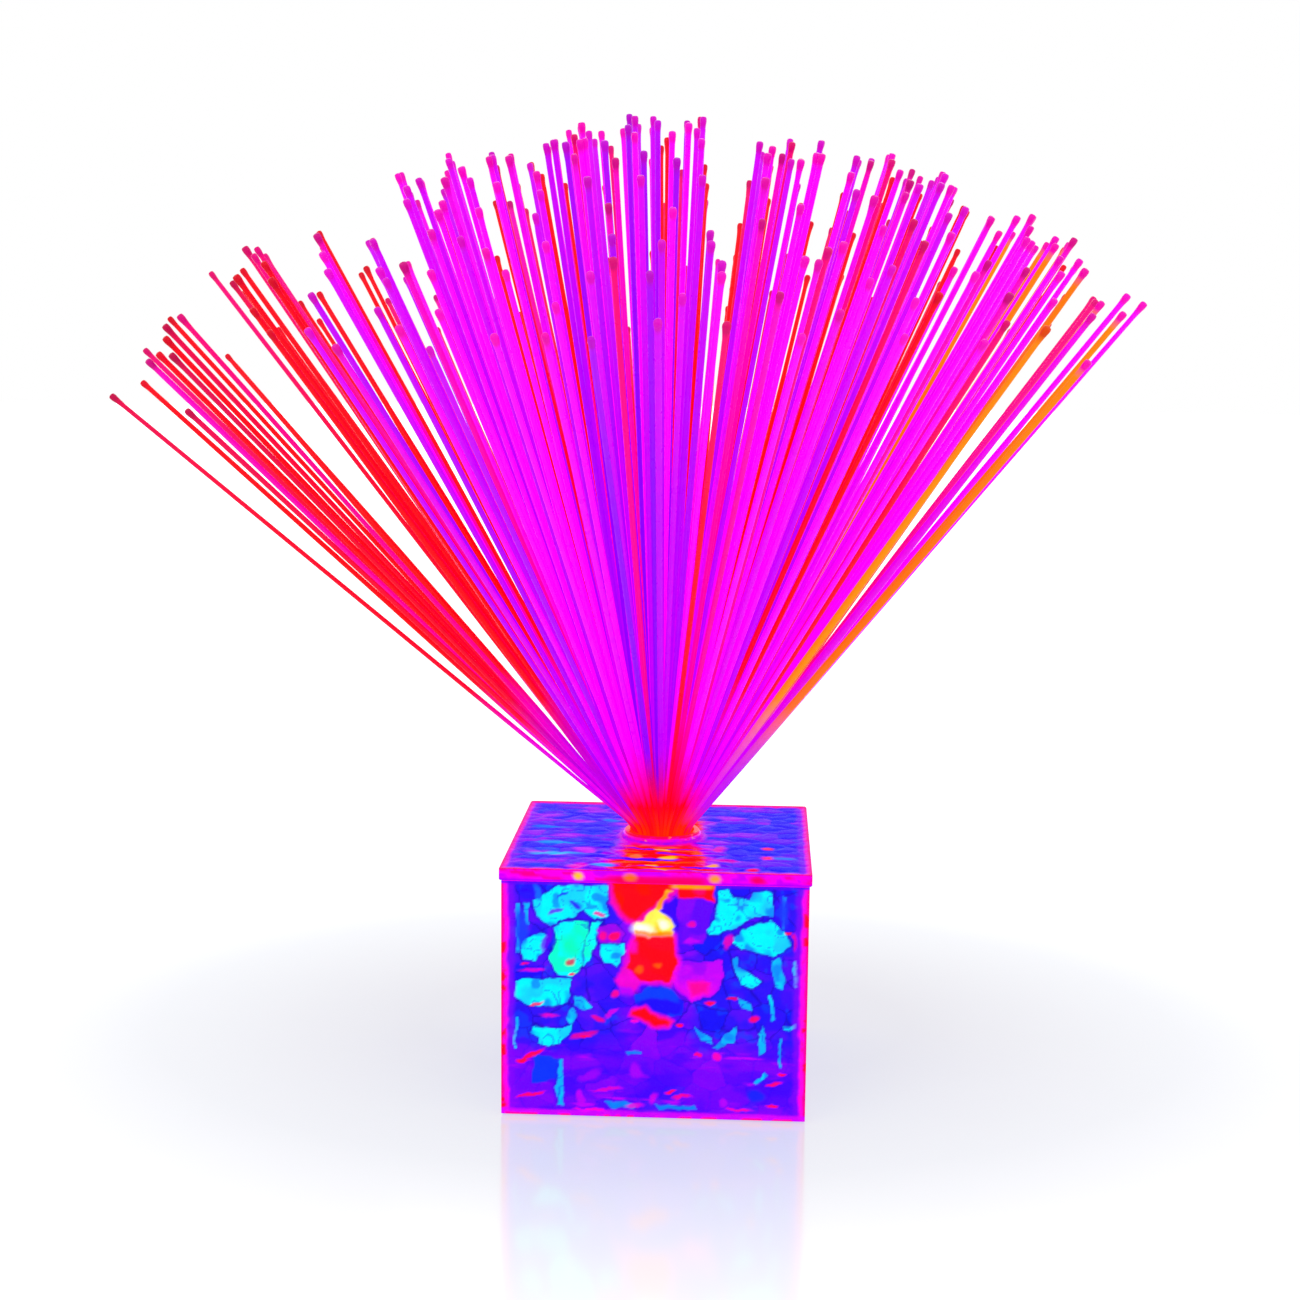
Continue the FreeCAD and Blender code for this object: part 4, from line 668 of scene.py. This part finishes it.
def strands_of(ob):
    """(start, tip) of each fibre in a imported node, in mm."""
    me = ob.data
    co = np.zeros(len(me.vertices) * 3, np.float32)
    me.vertices.foreach_get("co", co)
    co = co.reshape(-1, 3).astype(float) * 1000.0
    key = np.round(co * 500).astype(np.int64)
    _, merged = np.unique(key, axis=0, return_inverse=True)
    merged = np.asarray(merged).reshape(-1)
    parent = list(range(merged.max() + 1))

    def find(a):
        while parent[a] != a:
            parent[a] = parent[parent[a]]
            a = parent[a]
        return a

    ed = np.zeros(len(me.edges) * 2, np.int32)
    me.edges.foreach_get("vertices", ed)
    for a, b in merged[ed].reshape(-1, 2):
        ra, rb = find(a), find(b)
        if ra != rb:
            parent[ra] = rb
    root = np.array([find(i) for i in range(len(parent))])[merged]
    found = []
    for r in np.unique(root):
        pts = co[root == r]
        low = pts[pts[:, 2] < CORE_TOP + 0.05]
        start = (low.min(0) + low.max(0)) / 2
        far = pts[np.argmax(np.linalg.norm(pts - start, axis=1))]
        cap = pts[np.linalg.norm(pts - far, axis=1) < 1.2]
        tip = (cap.min(0) + cap.max(0)) / 2
        found.append((start, tip))
    found.sort(key=lambda s: (round(float(s[0][0]), 2), round(float(s[0][1]), 2)))
    return found


def strand_path(start, tip):
    """Points along a fibre: upright, one bend, then straight to its tip."""
    run = math.hypot(tip[0] - start[0], tip[1] - start[1])
    rise = tip[2] - STRAIGHT_TO
    lo, hi = 0.0, 1.4
    for _ in range(40):
        m = (lo + hi) / 2
        if math.tan(m) * (rise - BEND_RISE) + BEND_RISE * math.tan(m / 2) < run:
            lo = m
        else:
            hi = m
    lean = max((lo + hi) / 2, 0.002)
    turn = math.atan2(tip[1] - start[1], tip[0] - start[0])
    r = BEND_RISE / math.sin(lean)
    c, s = math.cos(turn), math.sin(turn)
    pts = [np.array([start[0], start[1], CORE_TOP + 0.4]), np.array([start[0], start[1], STRAIGHT_TO])]
    for k in range(1, 5):
        a = lean * k / 4
        h = r * (1 - math.cos(a))
        pts.append(np.array([start[0] + c * h, start[1] + s * h, STRAIGHT_TO + r * math.sin(a)]))
    base = pts[-1]
    way = (tip - base) / np.linalg.norm(tip - base)
    length = float(np.linalg.norm(tip - base))
    end = length - 0.55
    for d in [length * f for f in (0.05, 0.12, 0.2, 0.3, 0.42, 0.55, 0.68, 0.8, 0.9)]:
        pts.append(base + way * d)
    for d in (end - 6.0, end - 3.6, end - 2.5, end - 1.6, end - 0.75, end - 0.2, end):
        pts.append(base + way * d)
    return pts, length


def pick_tone(side, depth, rnd, r):
    """Colours of one fibre: (lower, middle, outer, tip)."""
    def choose(options):
        total = sum(w for _, w in options)
        t = rnd * total
        for tones, w in options:
            if t < w:
                return tones
            t -= w
        return options[-1][0]

    if rnd > 0.93:
        return ("#ff0078", "#ff00a0", "#ff00c0", "#c00078")
    crim = ("#e6004c", "#f00028", "#d80048", "#b00040")
    red = ("#ff0020", "#ff0010", "#f40018", "#d00020")
    redpink = ("#ff0060", "#ff0028", "#f00070", "#c80060")
    pink = ("#ff00c0", "#ff0096", "#ff0078", "#d00070")
    mag = ("#ff00f0", "#ff00ff", "#ff00ff", "#e600b4")
    magdk = ("#e800ff", "#e600f0", "#f000e6", "#dc00a0")
    vio = ("#c000ff", "#c000ff", "#d200ff", "#d000b8")
    dvio = ("#ac00ff", "#ac00ff", "#c000f8", "#c400b4")
    bvio = ("#9000ff", "#9000ff", "#a800f8", "#b400c0")
    orange = ("#ff00b4", "#ff6a00", "#ff7c00", "#e600a0")
    amber = ("#ff0078", "#ff8c00", "#f08200", "#d04000")
    if depth > 0.16 and rnd < 0.70:
        return red if rnd < 0.56 else redpink
    if side < -44:
        return choose([(crim, 5), (redpink, 3), (red, 3)])
    if side < -38.5:
        return choose([(red, 6), (redpink, 2), (crim, 3), (pink, 1)])
    if side < -29:
        return choose([(red, 7), (redpink, 3), (pink, 1), (magdk, 1)])
    if side < -12:
        return choose([(mag, 9), (vio, 7), (magdk, 5), (dvio, 4), (pink, 2), (redpink, 1)])
    if side < -6:
        return choose([(mag, 6), (vio, 5), (dvio, 6), (redpink, 1.5), (magdk, 3), (pink, 1), (bvio, 1.5), (amber, 0.8)])
    if side < 4.5:
        return choose([(vio, 5), (dvio, 7), (bvio, 4), (mag, 6), (pink, 2), (magdk, 3), (redpink, 1)])
    if side < 12:
        return choose([(mag, 8), (vio, 6), (magdk, 4), (dvio, 3), (redpink, 1.5), (pink, 1)])
    if side < 28:
        return choose([(mag, 12), (magdk, 6), (vio, 7), (pink, 2), (redpink, 1.5), (red, 1), (dvio, 2)])
    if side < 32:
        return choose([(mag, 10), (redpink, 3), (orange, 2), (magdk, 3), (vio, 2)])
    if side < 37.5:
        if depth < 0.04:
            return choose([(orange, 6), (amber, 6), (mag, 5), (magdk, 2)])
        return choose([(orange, 6), (amber, 5), (mag, 6), (redpink, 1), (magdk, 1)])
    if side < 42:
        return choose([(mag, 6), (magdk, 4), (pink, 2), (redpink, 2)])
    return choose([(crim, 3), (redpink, 3), (pink, 2), (magdk, 2)])


def fibre_bundle(name, ob):
    sides = 8
    verts, faces, cols = [], [], []
    rg = np.random.default_rng(sum(ord(c) for c in name) * 13 + 5)
    ring = [(math.cos(2 * math.pi * k / sides), math.sin(2 * math.pi * k / sides)) for k in range(sides)]
    for start, tip in strands_of(ob):
        pts, length = strand_path(start, tip)
        side = math.degrees(math.atan2(tip[0], tip[2] - 84.0))
        depth = tip[1] / 243.0
        rnd, wob, thick, bead = rg.random(), rg.random(), rg.uniform(0.92, 1.08), rg.uniform(0.88, 1.12)
        tones = [rgb(t) for t in pick_tone(side, depth, rnd, rg)]
        gain = rg.uniform(0.80, 1.0)
        glowing = -38.5 < side < -29 or 31.0 < side < 37.5 or depth > 0.14
        start_off = math.hypot(start[0], start[1])
        frame_x = None
        n = len(pts)
        s = 0.0
        first = len(verts)
        for i, p in enumerate(pts):
            if i:
                s += float(np.linalg.norm(p - pts[i - 1]))
            a = pts[max(i - 1, 0)]
            b = pts[min(i + 1, n - 1)]
            t = (b - a) / np.linalg.norm(b - a)
            ref = np.array([1.0, 0.0, 0.0]) if frame_x is None else frame_x
            x = ref - t * np.dot(ref, t)
            x = x / np.linalg.norm(x)
            frame_x = x
            y = np.cross(t, x)
            full = 0.86 * thick
            if glowing:
                fuller = 0.60 if depth > 0.14 else 0.42
                full *= 1.0 + fuller * (1.0 - min(max((s / length - 0.66) / 0.2, 0.0), 1.0))
            rad = 0.37 + (full - 0.37) * min(1.0, max(0.0, (s - 5.0) / 52.0)) ** 0.75
            k = n - 1 - i
            if k <= 5:
                rad = (0.50, 0.96, 1.12, 1.12, 1.00, 0.90)[k] * bead
            q = min(max((s - 9.0) / (length * 0.92), 0.0), 1.0)
            if q < 0.3:
                c = tones[0] * (1 - q / 0.3) + tones[1] * (q / 0.3)
            elif q < 0.72:
                c = tones[1]
            else:
                f = (q - 0.72) / 0.28
                c = tones[1] * (1 - f) + tones[2] * f
            if k <= 4:
                c = tones[3]
            elif k == 5:
                c = (tones[3] + tones[2]) / 2
            # near the collar the light runs hot: red, then back to the fibre's own colour
            top_of_heat = 101.0 + 9.0 * (wob - 0.5)
            hot = 1.0 - min(max((p[2] - top_of_heat) / 15.0, 0.0), 1.0)
            hot *= 1.0 - min(max((abs(p[0]) - 7.0 - 3.0 * wob) / 4.5, 0.0), 1.0)
            ember = min(max((97.0 - p[2]) / 9.0, 0.0), 1.0) * wob
            flame = rgb("#ff0018") * (1 - ember) + rgb("#ff3400") * ember
            c = (np.power(np.maximum(c, 0), 0.4545) * (1 - hot) + np.power(flame, 0.4545) * hot) ** 2.2
            low_violet = min(max((s - 8.0) / 10.0, 0.0), 1.0) * (1.0 - min(max((s - 46.0) / 34.0, 0.0), 1.0))
            low_violet *= 1.0 - hot
            if side < -24 or side > 20:
                c = c * (1 - 0.75 * low_violet) + rgb("#a800ff" if wob < 0.55 else "#dc00ff") * (0.75 * low_violet)
            c = c * gain
            for cx, cy in ring:
                verts.append(p + (x * cx + y * cy) * rad)
                cols.append(c)
        for i in range(n - 1):
            for k in range(sides):
                a, b = first + i * sides + k, first + i * sides + (k + 1) % sides
                faces.append((a, b, b + sides, a + sides))
        faces.append(tuple(first + k for k in range(sides - 1, -1, -1)))
        faces.append(tuple(first + (n - 1) * sides + k for k in range(sides)))
    me = new_mesh(name + "_strands", np.array(verts) * MM, faces, np.array(cols))
    me.data.polygons.foreach_set("use_smooth", [len(f) == 4 for f in faces])
    return me


fibre_mat = painted("fibre_lit", 0.72, 0.62, (0.22, 0.5), 0.12, 1600.0, 0.00006, 0.25, fine=(0.9, 1.0), sheen_scale=420.0)
for name in sorted(N):
    if name.startswith("fibres_"):
        ob = fibre_bundle(name, N[name])
        ob.data.materials.append(fibre_mat)
        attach(ob, "spray")
        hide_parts(name)


# ---- materials of the construction ----------------------------------------------
def give(names, mat):
    for n in names:
        me = N[n].data
        if len(me.materials):
            for k in range(len(me.materials)):
                me.materials[k] = mat
        else:
            me.materials.append(mat)


give(["base_tray"], surface("black_moulding", "#0b0b0d", "#17171a", 60, (0.42, 0.66), grain=1900, wear_and_glint="#242428"))
give(["battery_box", "tray_cover"], surface("inner_moulding", "#0e0e11", "#1b1b20", 70, (0.45, 0.7), grain=1500, wear_and_glint="#2b2b30"))
give(["battery_door"], surface("door_moulding", "#0d0d10", "#1c1c20", 85, (0.38, 0.6), grain=2300, wear_and_glint="#2d2d33"))
give(["rubber_feet"], surface("foot_rubber", "#101012", "#1e1e20", 300, (0.7, 0.92), grain=3200, strength=0.6, wear_and_glint="#36363a", spec=0.3))
# painted light: the grommet is coloured and glows magenta with the fibres' light, and its lighter spots are painted
# glints
give(["hole_grommet"], surface("grommet_rubber_painted_glow", "#5a0060", "#8c0080", 260, (0.45, 0.7), grain=2600, wear_and_glint="#a00090",
                               glow=("#8c00ff", "#e000c0"), glow_strength=0.8, spec=0.03))
# painted light: the clear seal is coloured and glows magenta with the light in the glass, and its pink spots are
# painted glints
give(["lid_seal"], surface("clear_sealant_painted_glow", "#b0008c", "#e000b4", 220, (0.25, 0.5), grain=1400, wear_and_glint="#ff40d0",
                           glow=("#f000b4", "#ff0078"), glow_strength=0.8, spec=0.2))
# painted light: the corner seals are coloured and glow violet with the light in the glass, and their pink spots are
# painted glints
give(["corner_seals"], surface("corner_sealant_painted_glow", "#8c00a8", "#c800c0", 180, (0.25, 0.5), grain=1300, wear_and_glint="#ff40d0",
                               glow=("#c800ff", "#ff00c0"), glow_strength=0.6, spec=0.2))


def lit_ring(name, stops, rough, grain):
    """Turned metal lit by the bundle: hot near the fibres, cooler towards its rim, with fine turning marks."""
    m, nt, b = material(name)
    tc = nt.nodes.new("ShaderNodeTexCoord")
    sep = nt.nodes.new("ShaderNodeSeparateXYZ")
    nt.links.new(tc.outputs["Object"], sep.inputs["Vector"])
    flat = nt.nodes.new("ShaderNodeCombineXYZ")
    nt.links.new(sep.outputs["X"], flat.inputs["X"])
    nt.links.new(sep.outputs["Y"], flat.inputs["Y"])
    r = node(nt, "ShaderNodeVectorMath", operation="LENGTH")
    nt.links.new(flat.outputs["Vector"], r.inputs[0])
    vec = object_coords(nt)
    stir = remap(nt, noise(nt, vec, 170, 4), -0.0006, 0.0006)
    add = node(nt, "ShaderNodeMath", operation="ADD")
    nt.links.new(r.outputs["Value"], add.inputs[0])
    nt.links.new(stir, add.inputs[1])
    heat = ramp(nt, remap(nt, add.outputs[0], 0.0, 1.0, 0.0105, 0.0140), [(p, rgba(c)) for p, c in stops])
    glint = remap(nt, noise(nt, vec, 420, 5, 0.6), 0.0, 0.9, 0.60, 0.70)
    lit = mix_colour(nt, glint, heat, rgba("#ff8a20"))
    nt.links.new(lit, b.inputs["Emission Color"])
    b.inputs["Emission Strength"].default_value = 0.88
    nt.links.new(mix_colour(nt, 1.0, lit, (0.4, 0.4, 0.4, 1.0), "MULTIPLY"), b.inputs["Base Color"])
    nt.links.new(remap(nt, noise(nt, object_coords(nt, (1, 1, 20)), 300, 3), rough[0], rough[1]), b.inputs["Roughness"])
    b.inputs["Metallic"].default_value = 0.6
    b.inputs["Specular IOR Level"].default_value = 0.1
    bump(nt, b, noise(nt, object_coords(nt, (1, 1, 18)), grain, 3), 0.3, 0.00004)
    return m


give(["turn_collar"], lit_ring("collar_metal_lit", [(0.0, "#ff1800"), (0.45, "#ff0030"), (0.70, "#f000a0"), (1.0, "#b400ff")], (0.2, 0.4), 900))
give(["bundle_ferrule"], lit_ring("ferrule_metal_lit", [(0.0, "#ff3000"), (0.40, "#ff0a08"), (0.72, "#f80060"), (1.0, "#d800d8")], (0.18, 0.36), 900))
give(["collar_clip"], surface("clip_steel", "#8c8e92", "#b4b6ba", 400, (0.22, 0.4), metal=1.0, grain=2000, wear_and_glint="#6c6e72"))
# painted light: the core glows red with the LED's light, and its yellow spots are painted glints
give(["bundle_core"], surface("potted_core_painted_glow", "#ff2a10", "#ff0a20", 700, (0.2, 0.4), grain=3000, wear_and_glint="#ffd060",
                              glow=("#ff3000", "#ff0a00"), glow_strength=0.9, spec=0.2))
give(["cover_screws", "board_screws"], surface("zinc_screws", "#9a9ca2", "#c4c6cc", 600, (0.25, 0.45), metal=1.0, grain=2400, wear_and_glint="#6a6c70"))
give(["contact_springs"], surface("spring_steel", "#a0a2a8", "#ccced4", 500, (0.2, 0.35), metal=1.0, grain=1600, stretch=(1, 6, 1), wear_and_glint="#74767a"))
give(["contact_plates"], surface("nickel_plate", "#b4b0a4", "#d8d4c8", 450, (0.2, 0.4), metal=1.0, grain=1500, stretch=(1, 1, 5), wear_and_glint="#8a8478"))
give(["led_legs"], surface("tinned_legs", "#b0b0b4", "#d8d8dc", 500, (0.25, 0.4), metal=1.0, grain=1800, stretch=(1, 1, 8), wear_and_glint="#808084"))
give(["switch_body"], surface("switch_can", "#9c9ea2", "#c8cace", 350, (0.25, 0.42), metal=1.0, grain=1500, stretch=(8, 1, 1), wear_and_glint="#6e7074"))
give(["switch_knob"], surface("knob_nylon", "#b8b8bc", "#dadade", 350, (0.4, 0.6), grain=2600, wear_and_glint="#8e8e94"))
# painted light: the white post and holder glow faintly red with the LED's light
give(["light_post", "led_holder"], surface("white_nylon_painted_red_glow", "#d8d4d8", "#f2eef0", 160, (0.35, 0.55), grain=1800, wear_and_glint="#c4b8c0",
                                          glow=("#ff2040", "#ff0010"), glow_strength=0.35))
# the cup's orange spots are painted glints of light
give(["light_cup"], surface("cup_plastic_lit", "#e0101c", "#ff2020", 150, (0.3, 0.5), grain=1500, wear_and_glint="#ff5030",
                            glow=("#ff0a10", "#ff3000"), glow_strength=0.8, spec=0.2))
# the lens's white spots are painted highlights
give(["led_lens"], surface("lens_epoxy_lit", "#ffd050", "#fff0a0", 260, (0.04, 0.14), grain=900, strength=0.15, wear_and_glint="#ffffff",
                           glow=("#ffc820", "#ffffe0"), glow_strength=1.6))
give(["led_plate"], surface("aluminium_core_board", "#d8d8d4", "#f0f0ec", 400, (0.3, 0.5), grain=1800, wear_and_glint="#b09040"))


def cell_sleeves():
    """Plain shrink sleeve with a band at one end, and a bright can end."""
    m, nt, b = material("cell_sleeve")
    tc = nt.nodes.new("ShaderNodeTexCoord")
    sep = nt.nodes.new("ShaderNodeSeparateXYZ")
    nt.links.new(tc.outputs["Object"], sep.inputs["Vector"])
    wave = node(nt, "ShaderNodeMath", operation="ABSOLUTE")
    nt.links.new(sep.outputs["X"], wave.inputs[0])
    ends = ramp(nt, remap(nt, wave.outputs[0], 0.0, 1.0, 0.0, 0.03),
                [(0.0, rgba("#20242c")), (0.80, rgba("#20242c")), (0.815, rgba("#b8bac0")), (1.0, rgba("#c8cace"))])
    vec = object_coords(nt)
    scuff = remap(nt, noise(nt, vec, 380, 8, 0.7), 0.0, 0.5, 0.58, 0.7)
    nt.links.new(mix_colour(nt, scuff, ends, rgba("#5a606c")), b.inputs["Base Color"])
    nt.links.new(ramp(nt, remap(nt, wave.outputs[0], 0.0, 1.0, 0.0, 0.03), [(0.0, (0, 0, 0, 1)), (0.80, (0, 0, 0, 1)), (0.815, (1, 1, 1, 1)), (1.0, (1, 1, 1, 1))]),
                 b.inputs["Metallic"])
    nt.links.new(remap(nt, noise(nt, vec, 240, 3), 0.22, 0.42), b.inputs["Roughness"])
    bump(nt, b, noise(nt, vec, 1400, 3), 0.25, 0.00003)
    return m


def laminate():
    """Green solder mask over copper tracks on glass laminate."""
    m, nt, b = material("solder_mask")
    vec = object_coords(nt)
    tracks = node(nt, "ShaderNodeTexVoronoi", Scale=260.0)
    tracks.distance = "MANHATTAN"
    tracks.feature = "F2"
    nt.links.new(vec, tracks.inputs["Vector"])
    lines = remap(nt, tracks.outputs["Distance"], 0.0, 1.0, 0.62, 0.68)
    col = mix_colour(nt, lines, rgba("#0b4a22"), rgba("#166a34"))
    dust = remap(nt, noise(nt, vec, 900, 6), 0.0, 0.35, 0.55, 0.7)
    nt.links.new(mix_colour(nt, dust, col, rgba("#2c8048")), b.inputs["Base Color"])
    nt.links.new(remap(nt, noise(nt, vec, 300, 3), 0.25, 0.42), b.inputs["Roughness"])
    bump(nt, b, tracks.outputs["Distance"], 0.3, 0.00005)
    return m


def sleeves():
    """Red and black lead sleeves."""
    m, nt, b = material("lead_sleeve")
    tc = nt.nodes.new("ShaderNodeTexCoord")
    sep = nt.nodes.new("ShaderNodeSeparateXYZ")
    nt.links.new(tc.outputs["Object"], sep.inputs["Vector"])
    col = ramp(nt, remap(nt, sep.outputs["X"], 0.0, 1.0, -0.003, 0.003), [(0.42, rgba("#16161a")), (0.46, rgba("#b00c14"))])
    vec = object_coords(nt)
    scuff = remap(nt, noise(nt, vec, 700, 8, 0.7), 0.0, 0.4, 0.58, 0.7)
    nt.links.new(mix_colour(nt, scuff, col, rgba("#6c3038")), b.inputs["Base Color"])
    nt.links.new(remap(nt, noise(nt, vec, 500, 3), 0.35, 0.55), b.inputs["Roughness"])
    bump(nt, b, noise(nt, vec, 2600, 3), 0.3, 0.00003)
    return m


give(["battery_cells"], cell_sleeves())
give(["circuit_board"], laminate())
give(["battery_leads", "switch_leads"], sleeves())
give(["driver_chip"], surface("chip_epoxy", "#101012", "#1c1c20", 500, (0.45, 0.62), grain=3000, wear_and_glint="#34343a"))
give(["board_components"], surface("chip_parts", "#5c4a38", "#8a745c", 900, (0.35, 0.55), grain=2600, wear_and_glint="#c8c0b4"))


# ---- floor, light, camera --------------------------------------------------------
def floor():
    rings, seg = [0.0, 0.05, 0.1, 0.18, 0.3, 0.5, 0.9, 1.6, 3.0, 6.0], 72
    verts, faces = [(0.0, 0.0, 0.0)], []
    for r in rings[1:]:
        for k in range(seg):
            a = 2 * math.pi * k / seg
            verts.append((r * math.cos(a), r * math.sin(a), 0.0))
    for k in range(seg):
        faces.append((0, 1 + k, 1 + (k + 1) % seg))
    for j in range(len(rings) - 2):
        for k in range(seg):
            a, b = 1 + j * seg + k, 1 + j * seg + (k + 1) % seg
            faces.append((a, a + seg, b + seg, b))
    ob = new_mesh("floor", verts, faces)
    m, nt, b = material("pale_floor")
    tc = nt.nodes.new("ShaderNodeTexCoord")
    sep = nt.nodes.new("ShaderNodeSeparateXYZ")
    nt.links.new(tc.outputs["Object"], sep.inputs["Vector"])
    flat = nt.nodes.new("ShaderNodeCombineXYZ")
    nt.links.new(sep.outputs["X"], flat.inputs["X"])
    back = node(nt, "ShaderNodeMath", operation="MULTIPLY_ADD")
    nt.links.new(sep.outputs["Y"], back.inputs[0])
    back.inputs[1].default_value = 1.25
    back.inputs[2].default_value = -0.07
    nt.links.new(back.outputs[0], flat.inputs["Y"])
    length = nt.nodes.new("ShaderNodeVectorMath")
    length.operation = "LENGTH"
    nt.links.new(flat.outputs["Vector"], length.inputs[0])
    # the floor's glow is grey near the base and white far off: a painted pool of shade around the base, fading into the
    # even white backdrop
    far = remap(nt, length.outputs["Value"], 0.0, 1.0, 0.09, 0.34)
    glow = ramp(nt, far, [(0.0, (0.47, 0.485, 0.52, 1)), (0.4, (0.60, 0.62, 0.65, 1)), (1.0, (0.97, 0.97, 0.97, 1))])
    nt.links.new(glow, b.inputs["Emission Color"])
    b.inputs["Emission Strength"].default_value = 1.0
    tone = ramp(nt, far, [(0.0, (0.17, 0.17, 0.175, 1)), (0.5, (0.12, 0.12, 0.125, 1)), (1.0, (0.05, 0.05, 0.05, 1))])
    fleck = ramp(nt, noise(nt, object_coords(nt), 30, 4), [(0.3, (0.97, 0.97, 0.97, 1)), (0.7, (1, 1, 1, 1))])
    nt.links.new(mix_colour(nt, 1.0, tone, fleck, "MULTIPLY"), b.inputs["Base Color"])
    b.inputs["Roughness"].default_value = 0.12
    b.inputs["Specular IOR Level"].default_value = 0.55
    ob.data.materials.append(m)
    return ob


floor()

world = bpy.data.worlds.new("studio")
world.use_nodes = True
bg = world.node_tree.nodes.get("Background") or world.node_tree.nodes.new("ShaderNodeBackground")
bg.inputs["Color"].default_value = (1.0, 1.0, 1.0, 1)
bg.inputs["Strength"].default_value = 1.0
bpy.context.scene.world = world


def softbox(name, at, size, power, aim=(0, 0, 0.12)):
    la = bpy.data.lights.new(name, "AREA")
    la.shape = "SQUARE"
    la.size = size
    la.energy = power
    ob = bpy.data.objects.new(name, la)
    ob.location = at
    ob.rotation_euler = (Vector(aim) - Vector(at)).to_track_quat("-Z", "Y").to_euler()
    bpy.context.scene.collection.objects.link(ob)


softbox("key", (-0.7, -0.9, 1.1), 0.8, 5.0)
softbox("fill", (0.9, -0.6, 0.8), 0.9, 3.0)
softbox("back", (0.1, 1.0, 1.0), 0.9, 2.5)

# The view is from 74 cm in front and 26 cm up, turned a little to the left and tilted down.
EYE, YAW, PITCH, ROLL = (31.6, -738.5, 260.2), 0.0493, 0.1497, 0.0102
cy, sy, cp, sp = math.cos(YAW), math.sin(YAW), math.cos(PITCH), math.sin(PITCH)
fwd = Vector((-sy * cp, cy * cp, -sp))
right = Vector((cy, sy, 0.0))
up = right.cross(fwd)
r2 = right * math.cos(ROLL) + up * math.sin(ROLL)
u2 = up * math.cos(ROLL) - right * math.sin(ROLL)
cam_data = bpy.data.cameras.new("camera")
cam_data.sensor_fit = "HORIZONTAL"
cam_data.sensor_width = 36.0
cam_data.lens = 2191.0 * 36.0 / 1300.0
cam_data.clip_start = 0.01
cam = bpy.data.objects.new("camera", cam_data)
m4 = Matrix((
    (r2.x, u2.x, -fwd.x, EYE[0] * MM),
    (r2.y, u2.y, -fwd.y, EYE[1] * MM),
    (r2.z, u2.z, -fwd.z, EYE[2] * MM),
    (0, 0, 0, 1)))
cam.matrix_world = m4
bpy.context.scene.collection.objects.link(cam)
bpy.context.scene.camera = cam
bpy.context.scene.view_settings.view_transform = "Standard"
bpy.context.view_layer.update()
